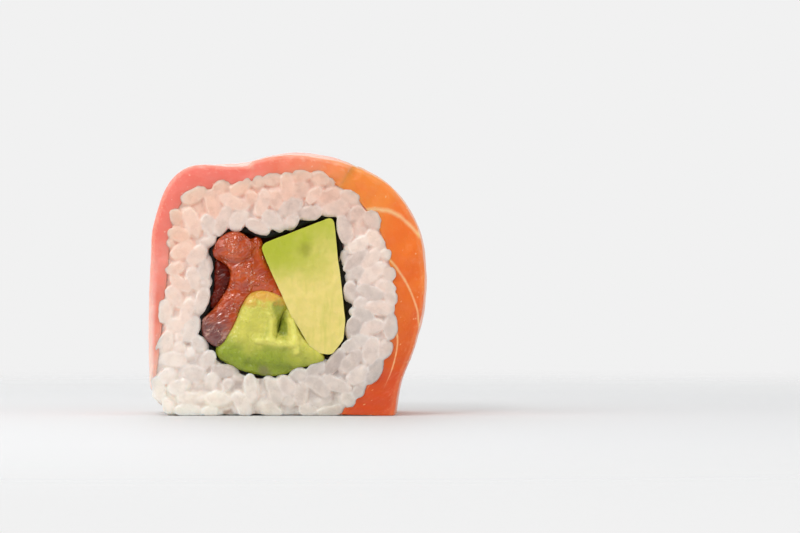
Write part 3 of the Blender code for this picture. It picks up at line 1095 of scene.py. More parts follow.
def fused(start: Shape, voxel: float, softening: int, swell: float = 0.0) -> Shape:
    """Joins closed shapes that cross into one skin of small even faces.

    Args:
        start: the shapes; it is freed.
        voxel: the size of the new faces.
        softening: how many times the skin is smoothed.
        swell: how far the skin moves outwards before that.

    Returns:
        The new skin.
    """
    mesh = bpy.data.meshes.new("start")
    start.to_mesh(mesh)
    start.free()
    helper = linked("start", mesh)
    even = helper.modifiers.new("even", "REMESH")
    even.mode = "VOXEL"
    even.voxel_size = voxel
    pressed = helper.modifiers.new("pressed", "DISPLACE")
    pressed.strength = swell
    pressed.mid_level = 0.0
    soft = helper.modifiers.new("soft", "SMOOTH")
    soft.iterations = softening
    soft.factor = 0.5
    made = bmesh.new()
    made.from_object(helper, bpy.context.evaluated_depsgraph_get())
    bpy.data.objects.remove(helper)
    bpy.data.meshes.remove(mesh)
    made.normal_update()
    return made


def joined(shapes: list[Shape]) -> Shape:
    """Puts shapes side by side in one.

    Args:
        shapes: the shapes, which it frees.

    Returns:
        One shape that holds them all.
    """
    made = bmesh.new()
    for shape in shapes:
        mesh = bpy.data.meshes.new("part")
        shape.to_mesh(mesh)
        shape.free()
        made.from_mesh(mesh)
        bpy.data.meshes.remove(mesh)
    return made


@dataclass
class GrainBed:
    """Grains of cooked rice pushed apart between the rims of the rice and two planes across the roll.

    squeeze is the share of its own width that a grain keeps to itself, and into_rims how much of that stays
    inside the rims. With low_only, only the foot, below FOOT_TOP, and the bare corner, left of and below
    CORNER (x, z), get grains. THROWS places are tried at a time, from LOWEST to HIGHEST (x, z). BEADS are
    the places of the balls that fill a grain. Balls within SLACK of each other are listed once for LIST_FOR
    rounds. CALM is the share of a push that is taken, and FIRM how hard rims and planes push, over
    FARTHEST at most.
    """

    field: RiceField
    count: int
    near: float
    far: float
    draw: np.random.Generator
    half_long: Pair = (2.1, 3.0)
    half_wide: Pair = (1.2, 1.6)
    lie_flat: float = 0.5
    rounds: int = 160
    squeeze: float = 0.88
    into_rims: float = 0.45
    low_only: bool = False

    BEADS = np.array((-1.0, -0.5, 0.0, 0.5, 1.0))
    THROWS = 400
    LOWEST, HIGHEST = (-23.0, 0.5), (20.0, 41.0)
    FOOT_TOP = 3.2
    CORNER = (-16.0, 7.0)
    SLACK = 0.9
    LIST_FOR = 8
    CALM = 0.8
    FIRM = 2.0
    FARTHEST = 3.0

    def scatter(self) -> None:
        """Throws the grains between the rims, each with its size and direction."""
        (left, low), (right, high) = self.LOWEST, self.HIGHEST
        middles = np.empty((0, 3))
        while len(middles) < self.count:
            reach = ((left, self.near + 1.0, low), (right, self.far - 1.0, high))
            spots = self.draw.uniform(*reach, (self.THROWS, 3))
            kept = self.field.look(self.field.free, spots[:, SECTION]) > 1.0
            if self.low_only:
                kept &= (spots[:, 2] < self.FOOT_TOP) | (spots[:, SECTION] < self.CORNER).all(axis=1)
            middles = np.concatenate((middles, spots[kept]))
        self.middle = middles[: self.count]
        axis = self.draw.normal(size=(self.count, 3)) * (1.0, self.lie_flat, 1.0)
        self.axis = axis / np.linalg.norm(axis, axis=1, keepdims=True)
        self.long = self.draw.uniform(*self.half_long, self.count)
        self.wide = self.draw.uniform(*self.half_wide, self.count)

    def beads(self) -> tuple[np.ndarray, np.ndarray]:
        """Balls that fill each grain, strung along its axis.

        Returns:
            The offsets and the radii, one row for each grain.
        """
        reach = (self.long**2 - self.wide**2) / self.long
        offsets = self.BEADS * reach[:, None]
        shares = offsets**2 / (self.long**2 - self.wide**2)[:, None]
        return offsets, self.wide[:, None] * np.sqrt(1 - shares)

    def neighbours(self, balls: np.ndarray, radii: np.ndarray, owners: np.ndarray) -> tuple[np.ndarray, ...]:
        """The pairs of balls of different grains that may touch in the next few rounds.

        Args:
            balls: the middle of each ball.
            radii: the radius of each ball.
            owners: the number of each ball's grain.

        Returns:
            The numbers of the first ball and of the second ball of every pair.
        """
        away = np.linalg.norm(balls[:, None] - balls, axis=2)
        close = (away < radii[:, None] + radii + self.SLACK) & (owners[:, None] < owners)
        return np.nonzero(close)

    def settle(self) -> None:
        """Pushes the grains apart and into the ring, turning them as they touch."""
        offsets, radii = self.beads()
        radii = (radii * self.squeeze).ravel()
        owners = np.repeat(np.arange(self.count), len(self.BEADS))
        for step in range(self.rounds):
            arms = self.axis[:, None] * offsets[..., None]
            balls = (self.middle[:, None] + arms).reshape(-1, 3)
            if step % self.LIST_FOR == 0:
                first, second = self.neighbours(balls, radii, owners)
            between = balls[first] - balls[second]
            away = np.linalg.norm(between, axis=1) + 1e-6
            overlap = np.clip(radii[first] + radii[second] - away, 0, None)
            part = (0.5 * overlap / away)[:, None] * between
            sums = [np.bincount(first, p, len(balls)) - np.bincount(second, p, len(balls)) for p in part.T]
            push = np.stack(sums, axis=1)
            spots = balls[:, SECTION]
            lacks = (
                radii * self.into_rims - self.field.look(self.field.free, spots),
                self.near + radii - balls[:, 1],
                balls[:, 1] - self.far + radii,
            )
            in_rims, in_front, behind = (np.clip(lack, 0, self.FARTHEST) * self.FIRM for lack in lacks)
            push[:, SECTION] += self.field.look(self.field.slope, spots) * in_rims[:, None]
            push[:, 1] += in_front - behind
            push = push.reshape(self.count, -1, 3)
            self.middle += push.mean(1) * self.CALM
            turn = np.cross(arms, push).sum(1) / (arms**2).sum((1, 2))[:, None]
            self.axis += np.cross(turn, self.axis) * self.CALM
            self.axis /= np.linalg.norm(self.axis, axis=1, keepdims=True)


@dataclass
class RiceGrains(Piece):
    """A bed of grains of rice that stick together, over a soft mass that holds them.

    sliced is how far the bed reaches past the cut before the knife trims it. bond_inset and bond_depth are
    where the soft mass starts and ends behind the cut. A grain is thicker towards one end by up to taper,
    bowed by up to bow and flattened by a share from flatness. Grains blend over seam_width, and the seams
    where they meet are painted pale as painted light. A pit is a place farther than pit_from from any grain,
    painted darker as painted shade, and warm by the fish as a painted glow. A flank is skin that turns away
    from the cut, from flank_from on: it is painted pale by flank_pale as painted light, and by the slices it
    gets a fringe of painted warm glow by flank_fringe. The tones of a vertex come from its NEAREST balls,
    and
    FAR stands for a grain that none of them belongs to.
    """

    field: RiceField
    side: Side
    face_count: int = 236
    foot_count: int = 84
    bed_depth: float = 4.8
    sliced: float = 0.65
    bond_inset: float = 0.65
    bond_depth: float = 4.2
    rim_shrink: float = 0.3
    into_tunnel: float = 0.35
    under_slices: float = 0.4
    voxel: float = 0.22
    foot_voxel: float = 0.42
    softening: int = 1
    sides: int = 10
    rings: int = 6
    dents: float = 0.22
    taper: float = 0.16
    bow: float = 0.22
    flatness: Pair = (0.84, 0.98)
    seam_width: float = 0.55
    pit_from: float = 0.22
    pit_rise: float = 0.5
    pit_most: float = 0.8
    flank_from: float = 0.75
    flank_pale: float = 1.15
    flank_fringe: float = 2.5
    seed: int = 5

    NEAREST = 10
    FAR = 9.0

    def bed(self, draw: np.random.Generator) -> GrainBed:
        """The settled bed.

        Args:
            draw: gives the grains their places, sizes and directions.

        Returns:
            The bed.
        """
        knife, inner = HALF + self.sliced, HALF - self.bed_depth
        if self.side is Side.FOOT:
            bed = GrainBed(self.field, self.foot_count, -inner, inner, draw, low_only=True)
        else:
            near, far = sorted((self.side.value * knife, self.side.value * inner))
            bed = GrainBed(self.field, self.face_count, near, far, draw)
        bed.scatter()
        bed.settle()
        return bed

    def copies(self, count: int) -> Shape:
        """Count balls of radius 1 in one shape, made by doubling the first.

        Args:
            count: how many balls.

        Returns:
            The balls, where each vertex knows the number of its ball and of its own corner.
        """
        made = bmesh.new()
        bmesh.ops.create_uvsphere(made, u_segments=self.sides, v_segments=self.rings, radius=1.0)
        for name in ("number", "corner"):
            made.verts.layers.int.new(name)
        number, corner = (made.verts.layers.int[name] for name in ("number", "corner"))
        for index, vertex in enumerate(made.verts):
            vertex[corner] = index
        have = 1
        while have < count:
            more = min(have, count - have)
            chosen = [vertex for vertex in made.verts if vertex[number] < more]
            for kind in (made.edges, made.faces):
                chosen += [item for item in kind if item.verts[0][number] < more]
            for item in bmesh.ops.duplicate(made, geom=chosen)["geom"]:
                if isinstance(item, bmesh.types.BMVert):
                    item[number] += have
            have += more
        return made

    def grain(self, unit: np.ndarray, bed: GrainBed, index: int, draw: np.random.Generator) -> np.ndarray:
        """One grain's vertices.

        Args:
            unit: the vertices of a ball of radius 1, with its poles along Z.
            bed: the bed that the grain lies in.
            index: the grain's number there.
            draw: gives its small differences.

        Returns:
            The grain's vertices, cut flat by the knife's planes and the board.
        """
        across, deep, along = unit.T
        plump = np.sqrt(np.clip(1 - np.abs(along) ** 2.5, 0, 1) / np.clip(1 - along**2, 1e-6, None))
        girth = plump * (1 + draw.uniform(-self.taper, self.taper) * along)
        bend = draw.uniform(-self.bow, self.bow)
        girth = girth * (1 + self.dents * rough(unit * 1.3, 1.0, float(draw.uniform(0, 90)), 1))
        local = np.stack(
            (
                across * girth * bed.wide[index] + bend * bed.wide[index] * (1 - 2 * along**2),
                deep * girth * bed.wide[index] * draw.uniform(*self.flatness),
                along * bed.long[index],
            ),
            axis=1,
        )
        spin = Matrix.Rotation(draw.uniform(0, 2 * math.pi), 3, "Z")
        turn = Vector(bed.axis[index]).to_track_quat("Z", "Y").to_matrix() @ spin
        return trimmed(local @ np.array(turn).T + bed.middle[index])

    def loose(self, bed: GrainBed, draw: np.random.Generator) -> Shape:
        """A bed's grains, each a closed shape of its own.

        Args:
            bed: where the grains lie.
            draw: the source of the random draws.

        Returns:
            The grains, not yet fused.
        """
        made = self.copies(bed.count)
        number, corner = (made.verts.layers.int[name] for name in ("number", "corner"))
        first = sorted((v for v in made.verts if v[number] == 0), key=lambda vertex: vertex[corner])
        unit = np.array([vertex.co for vertex in first])
        places = [self.grain(unit, bed, index, draw) for index in range(bed.count)]
        for vertex in made.verts:
            vertex.co = places[vertex[number]][vertex[corner]]
        return made

    def bond(self) -> Shape:
        """The soft mass that holds the grains of a cut face together, behind the cut.

        Returns:
            A closed ring.
        """
        rims = (grown(RICE_LINE.loop(4), -self.rim_shrink), grown(NORI_LINE.loop(3), self.into_tunnel))
        ends = (self.side.value * (HALF - self.bond_inset), self.side.value * (HALF - self.bond_depth))
        return prism(rims, *sorted(ends))

    def tones(self, bed: GrainBed, draw: np.random.Generator) -> np.ndarray:
        """Each grain's tone with painted shade, its painted warm glow, and its green tint by the board.

        Grains get a painted warm glow by the slices, stronger high up where light falls and weaker on the
        right, and a green tint by the board. They are darker well inside the ring, darker low on the right
        as painted shade, and differ less on the left, so they are lighter there, as painted light where the
        lamp is strong.

        Args:
            bed: where the grains lie.
            draw: the source of the random draws.

        Returns:
            One row for each grain.
        """
        across, _, height = bed.middle.T
        depth = self.field.look(self.field.to_slices, bed.middle[:, SECTION])
        reach = (0.35 + 0.65 * smoothstep(-depth, -7.0, -1.0)) * smoothstep(height, 2.0, 12.0)
        # painted light: the fish's warm glow is stronger high up, where the light falls, and weaker on the
        # right
        lit = (0.25 + 0.75 * smoothstep(height, 8.0, 34.0)) * (1 - 0.4 * smoothstep(across, 4.0, 14.0))
        fish_glow = np.clip(reach * lit + draw.uniform(-0.07, 0.07, bed.count), 0, 1)
        # a green tint towards the board, differing from grain to grain
        board_tint = (1 - smoothstep(height, 0.5, 7.0)) * draw.uniform(0.3, 1.0, bed.count)
        # painted shade low on the right
        painted_shade = smoothstep(across, -8.0, 12.0) * (1 - smoothstep(height, 6.0, 26.0))
        # less random grey on the left, so the grains are lighter there: painted light where the lamp is
        # strong
        varied = (0.15 + 0.5 * smoothstep(across, -18.0, -6.0)) * draw.uniform(0, 1, bed.count)
        tone_and_shade = varied + 0.5 * smoothstep(depth, 3.0, 8.0) + 0.5 * painted_shade - 0.19
        return np.stack((tone_and_shade, fish_glow, board_tint), axis=1)

    def paint(self, made: Shape, bed: GrainBed, draw: np.random.Generator) -> None:
        """Gives each vertex the tones of the grains nearest to it, and marks pale seams and fringes of
        painted light and pits of painted shade.

        Args:
            made: the fused grains.
            bed: where the grains lie.
            draw: the source of the random draws.
        """
        offsets, radii = bed.beads()
        balls = (bed.middle[:, None] + bed.axis[:, None] * offsets[..., None]).reshape(-1, 3)
        tree = kdtree.KDTree(len(balls))
        for index, ball in enumerate(balls):
            tree.insert(ball, index)
        tree.balance()
        tones = self.tones(bed, draw)
        owners = np.repeat(np.arange(bed.count), offsets.shape[1])
        radii = radii.ravel()
        made.normal_update()
        places = coordinates(made)
        depth = self.field.look(self.field.to_slices, places[:, SECTION])
        # painted warm glow on the flanks of grains close to the slices
        glow_fringes = (1 - smoothstep(depth, 0.6, 1.8)) * smoothstep(places[:, 2], 2.0, 14.0)
        rows = []
        for vertex, glow_fringe in zip(made.verts, glow_fringes):
            gaps: dict[int, float] = {}
            for _, index, away in tree.find_n(vertex.co, self.NEAREST):
                owner = int(owners[index])
                gaps[owner] = min(gaps.get(owner, self.FAR), away - radii[index])
            nearest = sorted(gaps.items(), key=lambda gap: gap[1]) + [(0, self.FAR)]
            (first, near), (second, next_near) = nearest[:2]
            share = 0.5 * math.exp(-max(next_near - near, 0.0) / self.seam_width)
            blend = tones[first] * (1 - share**2) + tones[second] * share**2
            # painted shade in gaps far from any grain
            gap_shade = min(max((near - self.pit_from) / self.pit_rise, 0.0), self.pit_most)
            flank = 0.0 if self.side is Side.FOOT else max(self.flank_from - abs(vertex.normal.y), 0.0)
            # painted light: pale seams and pale flanks
            seam_glow = min(share + self.flank_pale * flank, 1.0)
            rows.append((*blend, seam_glow, gap_shade, glow_fringe * min(self.flank_fringe * flank, 1.0)))
        names = ("tone_and_shade", "fish_glow", "board_tint", "seam_glow", "gap_shade", "glow_fringe")
        set_marks(made, dict(zip(names, np.array(rows).T)))

    def shape(self) -> Shape:
        """The grains, fused where they touch, and drawn in under the slices.

        Returns:
            The fused grains in millimetres, with their marks.
        """
        draw = np.random.default_rng(self.seed)
        bed = self.bed(draw)
        faces = self.side is not Side.FOOT
        held = [self.loose(bed, draw)] + ([self.bond()] if faces else [])
        skin = fused(joined(held), self.voxel if faces else self.foot_voxel, self.softening)
        places = trimmed(coordinates(skin))
        spots = places[:, SECTION]
        lack = np.clip(self.under_slices - self.field.look(self.field.cover, spots), 0, 3)
        lack *= smoothstep(places[:, 2], 3.0, 5.0)
        places[:, SECTION] += self.field.look(self.field.inwards, spots) * lack[:, None]
        set_coordinates(skin, places)
        self.paint(skin, bed, draw)
        return skin


@dataclass
class RiceCore(Piece):
    """The rice between the beds of grains: a smooth ring under the slices."""

    inset: float = 3.6
    shrink: float = 0.5
    into_tunnel: float = 0.4

    def shape(self) -> Shape:
        """The ring between both rims, drawn out along the roll."""
        rims = (grown(RICE_LINE.loop(4), -self.shrink), grown(NORI_LINE.loop(3), self.into_tunnel))
        return prism(rims, self.inset - HALF, HALF - self.inset)


@dataclass
class FillingBed(Piece):
    """What closes the small hollows between the strips of the filling, well behind their faces."""

    inset: float = 2.4
    shrink: float = 0.8

    def shape(self) -> Shape:
        """The tunnel's outline, drawn in and drawn out along the roll."""
        return prism((grown(NORI_LINE.loop(3), -self.shrink),), self.inset - HALF, HALF - self.inset)


@dataclass
class NoriSleeve(Piece):
    """The sheet of nori: wound once round the filling, its ends overlapping on the right."""

    thickness: float = 0.9
    inset: float = 0.9
    overlap: float = 2.2
    start: float = 1.3
    columns: int = 300
    rows: int = 60

    def shape(self) -> Shape:
        """A long grid wound along the sleeve's line, crinkled, then given its thickness.

        Returns:
            The sheet in millimetres.
        """
        made = bmesh.new()
        bmesh.ops.create_grid(made, x_segments=self.columns, y_segments=self.rows, size=1.0)
        flat = coordinates(made)
        along, deep = (flat[:, 0] + 1) / 2, ease((flat[:, 1] + 1) / 2, 0.6) * 2 - 1
        places = self.start + along * (len(NORI_LOOP) + self.overlap)
        wound = smoothstep(places, self.start + len(NORI_LOOP) - 1.0, self.start + len(NORI_LOOP) + 0.3)
        spots = NORI_LINE.at(places)
        around = np.stack((spots[:, 0], deep * HALF, spots[:, 1]), axis=1)
        crinkle = 0.16 * rough(around, 3.0, 2.0) + 0.08 * rough(around, 0.9, 3.0)
        ragged = 0.35 * rough_along(places * 5, 2.5, 4.0)
        spots = spots + NORI_LINE.way_out(places) * (crinkle + wound * 0.45)[:, None]
        reach = HALF - self.inset + ragged * np.abs(deep) ** 6
        set_coordinates(made, np.stack((spots[:, 0], deep * reach, spots[:, 1]), axis=1))
        bmesh.ops.recalc_face_normals(made, faces=made.faces)
        bmesh.ops.solidify(made, geom=made.faces[:], thickness=self.thickness)
        bmesh.ops.recalc_face_normals(made, faces=made.faces)
        return made


@dataclass
class FillingStrip(Piece):
    """A soft strip inside the nori, grown from its solid: rounded, pressed outwards and given relief.

    voxel is the size of its faces and softening how often they are smoothed, and blending the same for where
    two solids join. swell moves the skin outwards. overshoot stretches the strip through the cut, and it is
    then trimmed short_of_cut inside it.
    """

    voxel: float = 0.3
    softening: int = 8
    swell: float = 0.3
    lumps: float = 0.12
    lump_size: float = 4.0
    cut_marks: float = 0.05
    blending: int = 3
    overshoot: float = 0.0
    short_of_cut: float = 0.05
    seed: float = 1.0

    def shape(self) -> Shape:
        """The solids' own form, remeshed evenly, smoothed and moved by its relief.

        Returns:
            The strip in millimetres.
        """
        strips = []
        for node in self.nodes:
            start = bmesh.new()
            start.from_mesh(frame["nodes"][node].data)
            bmesh.ops.scale(start, vec=(1 / MM,) * 3, verts=start.verts)
            bmesh.ops.remove_doubles(start, verts=start.verts, dist=0.01)
            bmesh.ops.recalc_face_normals(start, faces=start.faces)
            strips.append(fused(start, self.voxel, self.softening, self.swell))
        made = strips[0] if len(strips) == 1 else fused(joined(strips), self.voxel, self.blending)
        places = coordinates(made)
        if self.overshoot:
            end = HALF - self.short_of_cut
            places[:, 1] = np.clip(places[:, 1] * (1 + self.overshoot / HALF), -end, end)
        normals = np.array([vertex.normal for vertex in made.verts])
        places, relief = self.moved(places, normals)
        set_coordinates(made, places)
        set_marks(made, {"relief": relief})
        return made

    def moved(self, places: np.ndarray, normals: np.ndarray) -> tuple[np.ndarray, np.ndarray]:
        """Moves each point outwards: broad lumps, and finer marks of the knife on the cut faces.

        Args:
            places: the vertices, in millimetres.
            normals: their outward directions.

        Returns:
            The new places, and how far each point was moved.
        """
        broad = self.lumps * rough(places, self.lump_size, self.seed)
        fine = self.cut_marks * rough(places * (1.6, 1.0, 0.5), 0.8, self.seed + 1) * np.abs(normals[:, 1])
        return places + normals * (broad + fine)[:, None], broad + fine


@dataclass
class FishStrips(FillingStrip):
    """The two strips of fish that stick together, with the left one's rounded head lying over the other."""

    head_at: Pair = (-8.7, 28.3)
    head_half: Pair = (3.2, 2.5)
    head_height: float = 0.7

    def moved(self, places: np.ndarray, normals: np.ndarray) -> tuple[np.ndarray, np.ndarray]:
        """The strips' own relief, with the head raised on the cut faces.

        Args:
            places: the vertices, in millimetres.
            normals: their outward directions.

        Returns:
            The new places, and the height of the relief at each.
        """
        places, relief = super().moved(places, normals)
        off = np.linalg.norm((places[:, SECTION] - self.head_at) / np.array(self.head_half), axis=1)
        head = np.sqrt(np.clip(1 - off**4, 0, 1)) - 0.25 * hump(off - 1.12, 0.12)
        raised = self.head_height * head * smoothstep(np.abs(places[:, 1]), HALF - 3.0, HALF - 1.2)
        places[:, 1] += np.sign(places[:, 1]) * raised
        return places, relief


@dataclass
class AvocadoFold(FillingStrip):
    """The folded strip of avocado, with folds and a hollow in its cut faces, fainter in the one behind.

    hollow runs from (x, z) to (x, z). folds are soft ridges, each from (x, z) to (x, z), with its half width
    and height. The corner at tip_at is drawn out by tip_reach, less and less over tip_width.
    """

    hollow: tuple[float, float, float, float] = (-1.15, 18.2, -0.5, 14.4)
    hollow_half: float = 1.25
    hollow_depth: float = 0.55
    behind: float = 0.4
    tip_at: Pair = (4.0, 9.6)
    tip_reach: Pair = (1.9, -0.3)
    tip_width: float = 2.0
    folds: tuple[tuple[float, float, float, float, float, float], ...] = (
        (0.95, 16.0, 1.75, 10.6, 0.55, 0.65),
        (-2.75, 17.0, -2.6, 13.0, 0.6, 0.45),
        (-4.6, 12.5, 0.6, 12.0, 0.8, 0.6),
        (-8.6, 12.6, -5.6, 17.6, 1.1, 0.25),
        (-6.4, 8.6, 0.4, 8.0, 0.9, -0.35),
    )

    def moved(self, places: np.ndarray, normals: np.ndarray) -> tuple[np.ndarray, np.ndarray]:
        """The strip's own relief, with the folds and the hollow on the cut faces.

        Args:
            places: the vertices, in millimetres.
            normals: their outward directions.

        Returns:
            The new places, and the height of the relief at each.
        """
        places, relief = super().moved(places, normals)
        by_tip = hump(np.linalg.norm(places[:, SECTION] - self.tip_at, axis=1), self.tip_width)
        places[:, SECTION] += by_tip[:, None] * self.tip_reach
        wander = np.stack((rough(places, 2.4, 8.0), rough(places, 2.4, 9.0)), axis=1)
        spots = places[:, SECTION] + 0.35 * wander

        def away(line: tuple[float, float, float, float]) -> np.ndarray:
            """How far spots lie from the line from (x, z) to (x, z).

            Args:
                line: x and z of its first point, then of its last.

            Returns:
                One distance for each spot, in millimetres.
            """
            start, run = np.array(line[:2]), np.array(line[2:]) - np.array(line[:2])
            share = np.clip((spots - start) @ run / (run @ run), 0, 1)
            return np.linalg.norm(spots - start - share[:, None] * run, axis=1)

        deeper = self.hollow_depth * (0.6 + 0.5 * smoothstep(-spots[:, 1], -18.0, -14.5))
        face = -deeper * hump(away(self.hollow), self.hollow_half, 4)
        for *line, width, height in self.folds:
            face = face + height * hump(away(tuple(line)), width)
        face = face * smoothstep(np.abs(places[:, 1]), HALF - 3.4, HALF - 1.4)
        face = face * np.where(places[:, 1] < 0, 1.0, self.behind)
        places[:, 1] += np.sign(places[:, 1]) * face
        return places, relief + face


@dataclass
class DrapedSlice(Piece):
    """A slice laid over the rice on a slant.

    corners are (station, share of the depth from the front) for front left, front right, back left and back
    right. bulges, as (station, reach, height), move the outer face off its line near the front. rim is the
    rounding of the outer rim and inner_rim the share of it inside. front is how far the slice ends short of
    the cut, and sink how far it lies in the rice. lifts raise the left and the right edge over the next
    slice, frays roughen them, and joins says which of them meets its neighbour without a groove in front.
    """

    corners: tuple[Pair, ...]
    bulges: tuple[Triple, ...] = ((5.72, 0.5, 0.75), (9.15, 0.6, -0.55))
    columns: int = 150
    rows: int = 72
    layers: int = 7
    rim: float = 0.5
    inner_rim: float = 0.2
    front: float = 0.2
    sink: float = 0.35
    swell: float = 0.3
    lifts: Pair = (0.0, 0.0)
    frays: Pair = (0.0, 0.0)
    joins: tuple[bool, bool] = (False, False)
    lumps: float = 0.16
    clearance: float = 0.03
    seed: float = 1.0

    def grid(self) -> Shape:
        """A flat block from -1 to 1 across and deep and from 0 to 1 high, with layers round its rim.

        Returns:
            The block, closed on all sides.
        """
        made = bmesh.new()
        bmesh.ops.create_grid(made, x_segments=self.columns, y_segments=self.rows, size=1.0)
        top = bmesh.ops.extrude_face_region(made, geom=made.faces[:])["geom"]
        bmesh.ops.translate(made, verts=[v for v in top if isinstance(v, bmesh.types.BMVert)], vec=(0, 0, 1))
        upright = [edge for edge in made.edges if abs(edge.verts[0].co.z - edge.verts[1].co.z) > 0.5]
        bmesh.ops.subdivide_edges(made, edges=upright, cuts=self.layers, use_grid_fill=True)
        return made

    def spread(self, across: np.ndarray, deep: np.ndarray) -> tuple[np.ndarray, np.ndarray, np.ndarray]:
        """Where points of the slice lie on the roll.

        Args:
            across: shares of the way from the left edge to the right one.
            deep: shares of the way from the front edge to the back one.

        Returns:
            Their stations, their shares of the roll's depth, and how wide the slice is there in millimetres.
        """
        front_left, front_right, back_left, back_right = np.array(self.corners)
        near = front_left + (front_right - front_left) * across[:, None]
        back = back_left + (back_right - back_left) * across[:, None]
        station, share = (near + (back - near) * deep[:, None]).T
        widths = (front_right[0] - front_left[0], back_right[0] - back_left[0])
        width = np.abs(np.interp(deep, (0, 1), widths))
        return station, share, np.maximum(width * STATION_SPACING, 0.5)

    def outer_face(self, station: np.ndarray, share: np.ndarray) -> np.ndarray:
        """How far the outer face stands off its line, apart from its lifted edges.

        Args:
            station: how far round the roll each place is, in stations.
            share: how deep each place is, as a share of the roll's depth.

        Returns:
            One height for each place, in millimetres.
        """
        height = self.swell * (1 - (2 * share - 1) ** 2)
        for middle, reach, bulge in self.bulges:
            height = height + bulge * hump(station - middle, reach) * (1 - 0.6 * share)
        return height

    def rounded(self, height: np.ndarray, thick: np.ndarray, from_rim: np.ndarray) -> np.ndarray:
        """How high points lie over the inner face of a slice with rounded rims.

        Args:
            height: shares of the way from the inner face to the outer one.
            thick: how thick the slice is there.
            from_rim: how far the points lie inside the nearest rim.

        Returns:
            The heights in millimetres.
        """
        radius = np.minimum(self.rim, thick * 0.45)
        hang = np.clip(radius - from_rim, 0, None)
        dip = radius - np.sqrt(np.clip(radius**2 - hang**2, 0, None))
        return dip * self.inner_rim + (thick - dip * (1 + self.inner_rim)) * height

    def shape(self) -> Shape:
        """The block bent over the rice, with soft rims, and its lay as an attribute.

        Returns:
            The slice in millimetres, with its marks.
        """
        made = self.grid()
        flat = coordinates(made)
        across, deep = (ease((flat[:, axis] + 1) / 2, 0.8) for axis in (0, 1))
        height = flat[:, 2]
        station, share, width = self.spread(across, deep)
        v = share * 2 * HALF
        starts_at_cut = self.corners[0][1] == 0
        clear = smoothstep(v, 0.3, 5.0) if starts_at_cut else np.ones_like(v)
        edge_noise = rough_along(v, 3.5, self.seed, 4)
        for fray, nearness in zip(self.frays, (1 - across, across)):
            station = station + fray * edge_noise * nearness**12 * clear / STATION_SPACING
        station = np.clip(station, 0.0, len(STATIONS) - 1)
        way_out = RICE_LINE.way_out(station + len(BARE_CORNER))
        inner = RICE_LINE.at(station + len(BARE_CORNER)) - way_out * self.sink
        lift = (self.lifts[0] * (1 - across) ** 10 + self.lifts[1] * across**10) * clear
        out = self.outer_face(station, share) + lift + self.terrace(station, v)
        outer = OUTER_LINE.at(station) + way_out * out[:, None]
        thick = np.linalg.norm(outer - inner, axis=1)
        edges = zip((across, 1 - across), self.joins)
        left, right = (side * width + 2 * join * (1 - clear) for side, join in edges)
        high = self.rounded(height, thick, np.minimum.reduce((left, right, v, 2 * HALF - v)))
        spot = inner + (outer - inner) * (high / thick)[:, None]
        spot[:, 1] = np.maximum(spot[:, 1], self.clearance)
        depth = (2 * share - 1) * (HALF - self.front)
        places = np.stack((spot[:, 0], depth, spot[:, 1]), axis=1)
        lumps = rough(places, 6.0, 12.0) * 0.7 + rough(places, 1.6, 13.0) * 0.3
        outward = height * self.lumps * lumps
        places[:, SECTION] += way_out * outward[:, None]
        places[:, 1] += np.sign(depth) * np.abs(2 * share - 1) ** 40 * 0.3 * rough(places, 2.2, 14.0)
        places[:, 2] = np.maximum(places[:, 2], self.clearance)
        set_coordinates(made, places)
        lay = made.verts.layers.float_vector.new("lay")
        for vertex, value in zip(made.verts, np.stack((MIDDLE_LINE.arc_at(station), v, high), axis=1)):
            vertex[lay] = value
        by_edge = np.exp(-(np.minimum(left, right) + 3 * (1 - clear)) / 0.5)
        rim = np.maximum(by_edge, self.lap(station, v))
        set_marks(made, {"skin": height, "rim": rim, "from_left": left})
        bmesh.ops.recalc_face_normals(made, faces=made.faces)
        return made

    def terrace(self, station: np.ndarray, v: np.ndarray) -> np.ndarray:
        """How far the outer face stands out of its line, none unless a slice has a step."""
        return np.zeros_like(station)

    def lap(self, station: np.ndarray, v: np.ndarray) -> np.ndarray:
        """How much of a thin pale edge shows at a place, none unless a slice has a step."""
        return np.zeros_like(station)


@dataclass
class TunaSlices(DrapedSlice):
    """The tuna: a first slice up the left side, and a second that starts on it over the top.

    The second starts at the station step_at in front, and step_slant stations further round at the back.
    """

    step_at: float = 7.1
    step_slant: float = -1.6
    step_height: float = 0.5

    def behind(self, station: np.ndarray, v: np.ndarray) -> np.ndarray:
        """How far places lie ahead of the second slice's edge, in millimetres.

        Args:
            station: how far round the roll each place is, in stations.
            v: how far behind the front cut each place is, in millimetres.

        Returns:
            One distance for each place.
        """
        edge = self.step_at + self.step_slant * v / (2 * HALF)
        edge = edge + 0.12 * rough_along(v, 4.0, 9.0)
        return (edge - station) * STATION_SPACING

    def terrace(self, station: np.ndarray, v: np.ndarray) -> np.ndarray:
        """A hollow ahead of the second slice's edge, so that the edge stands out as a step.

        Args:
            station: how far round the roll each place is, in stations.
            v: how far behind the front cut each place is, in millimetres.

        Returns:
            The depth of the hollow at each place, as a negative number.
        """
        behind = self.behind(station, v)
        hollow = np.where(behind > 0, np.exp(-behind / 5.0), 1 - smoothstep(-behind, 0, 0.8))
        return -self.step_height * hollow

    def lap(self, station: np.ndarray, v: np.ndarray) -> np.ndarray:
        """The pale edge of the second slice."""
        return 0.8 * hump(self.behind(station, v) + 0.5, 0.5)


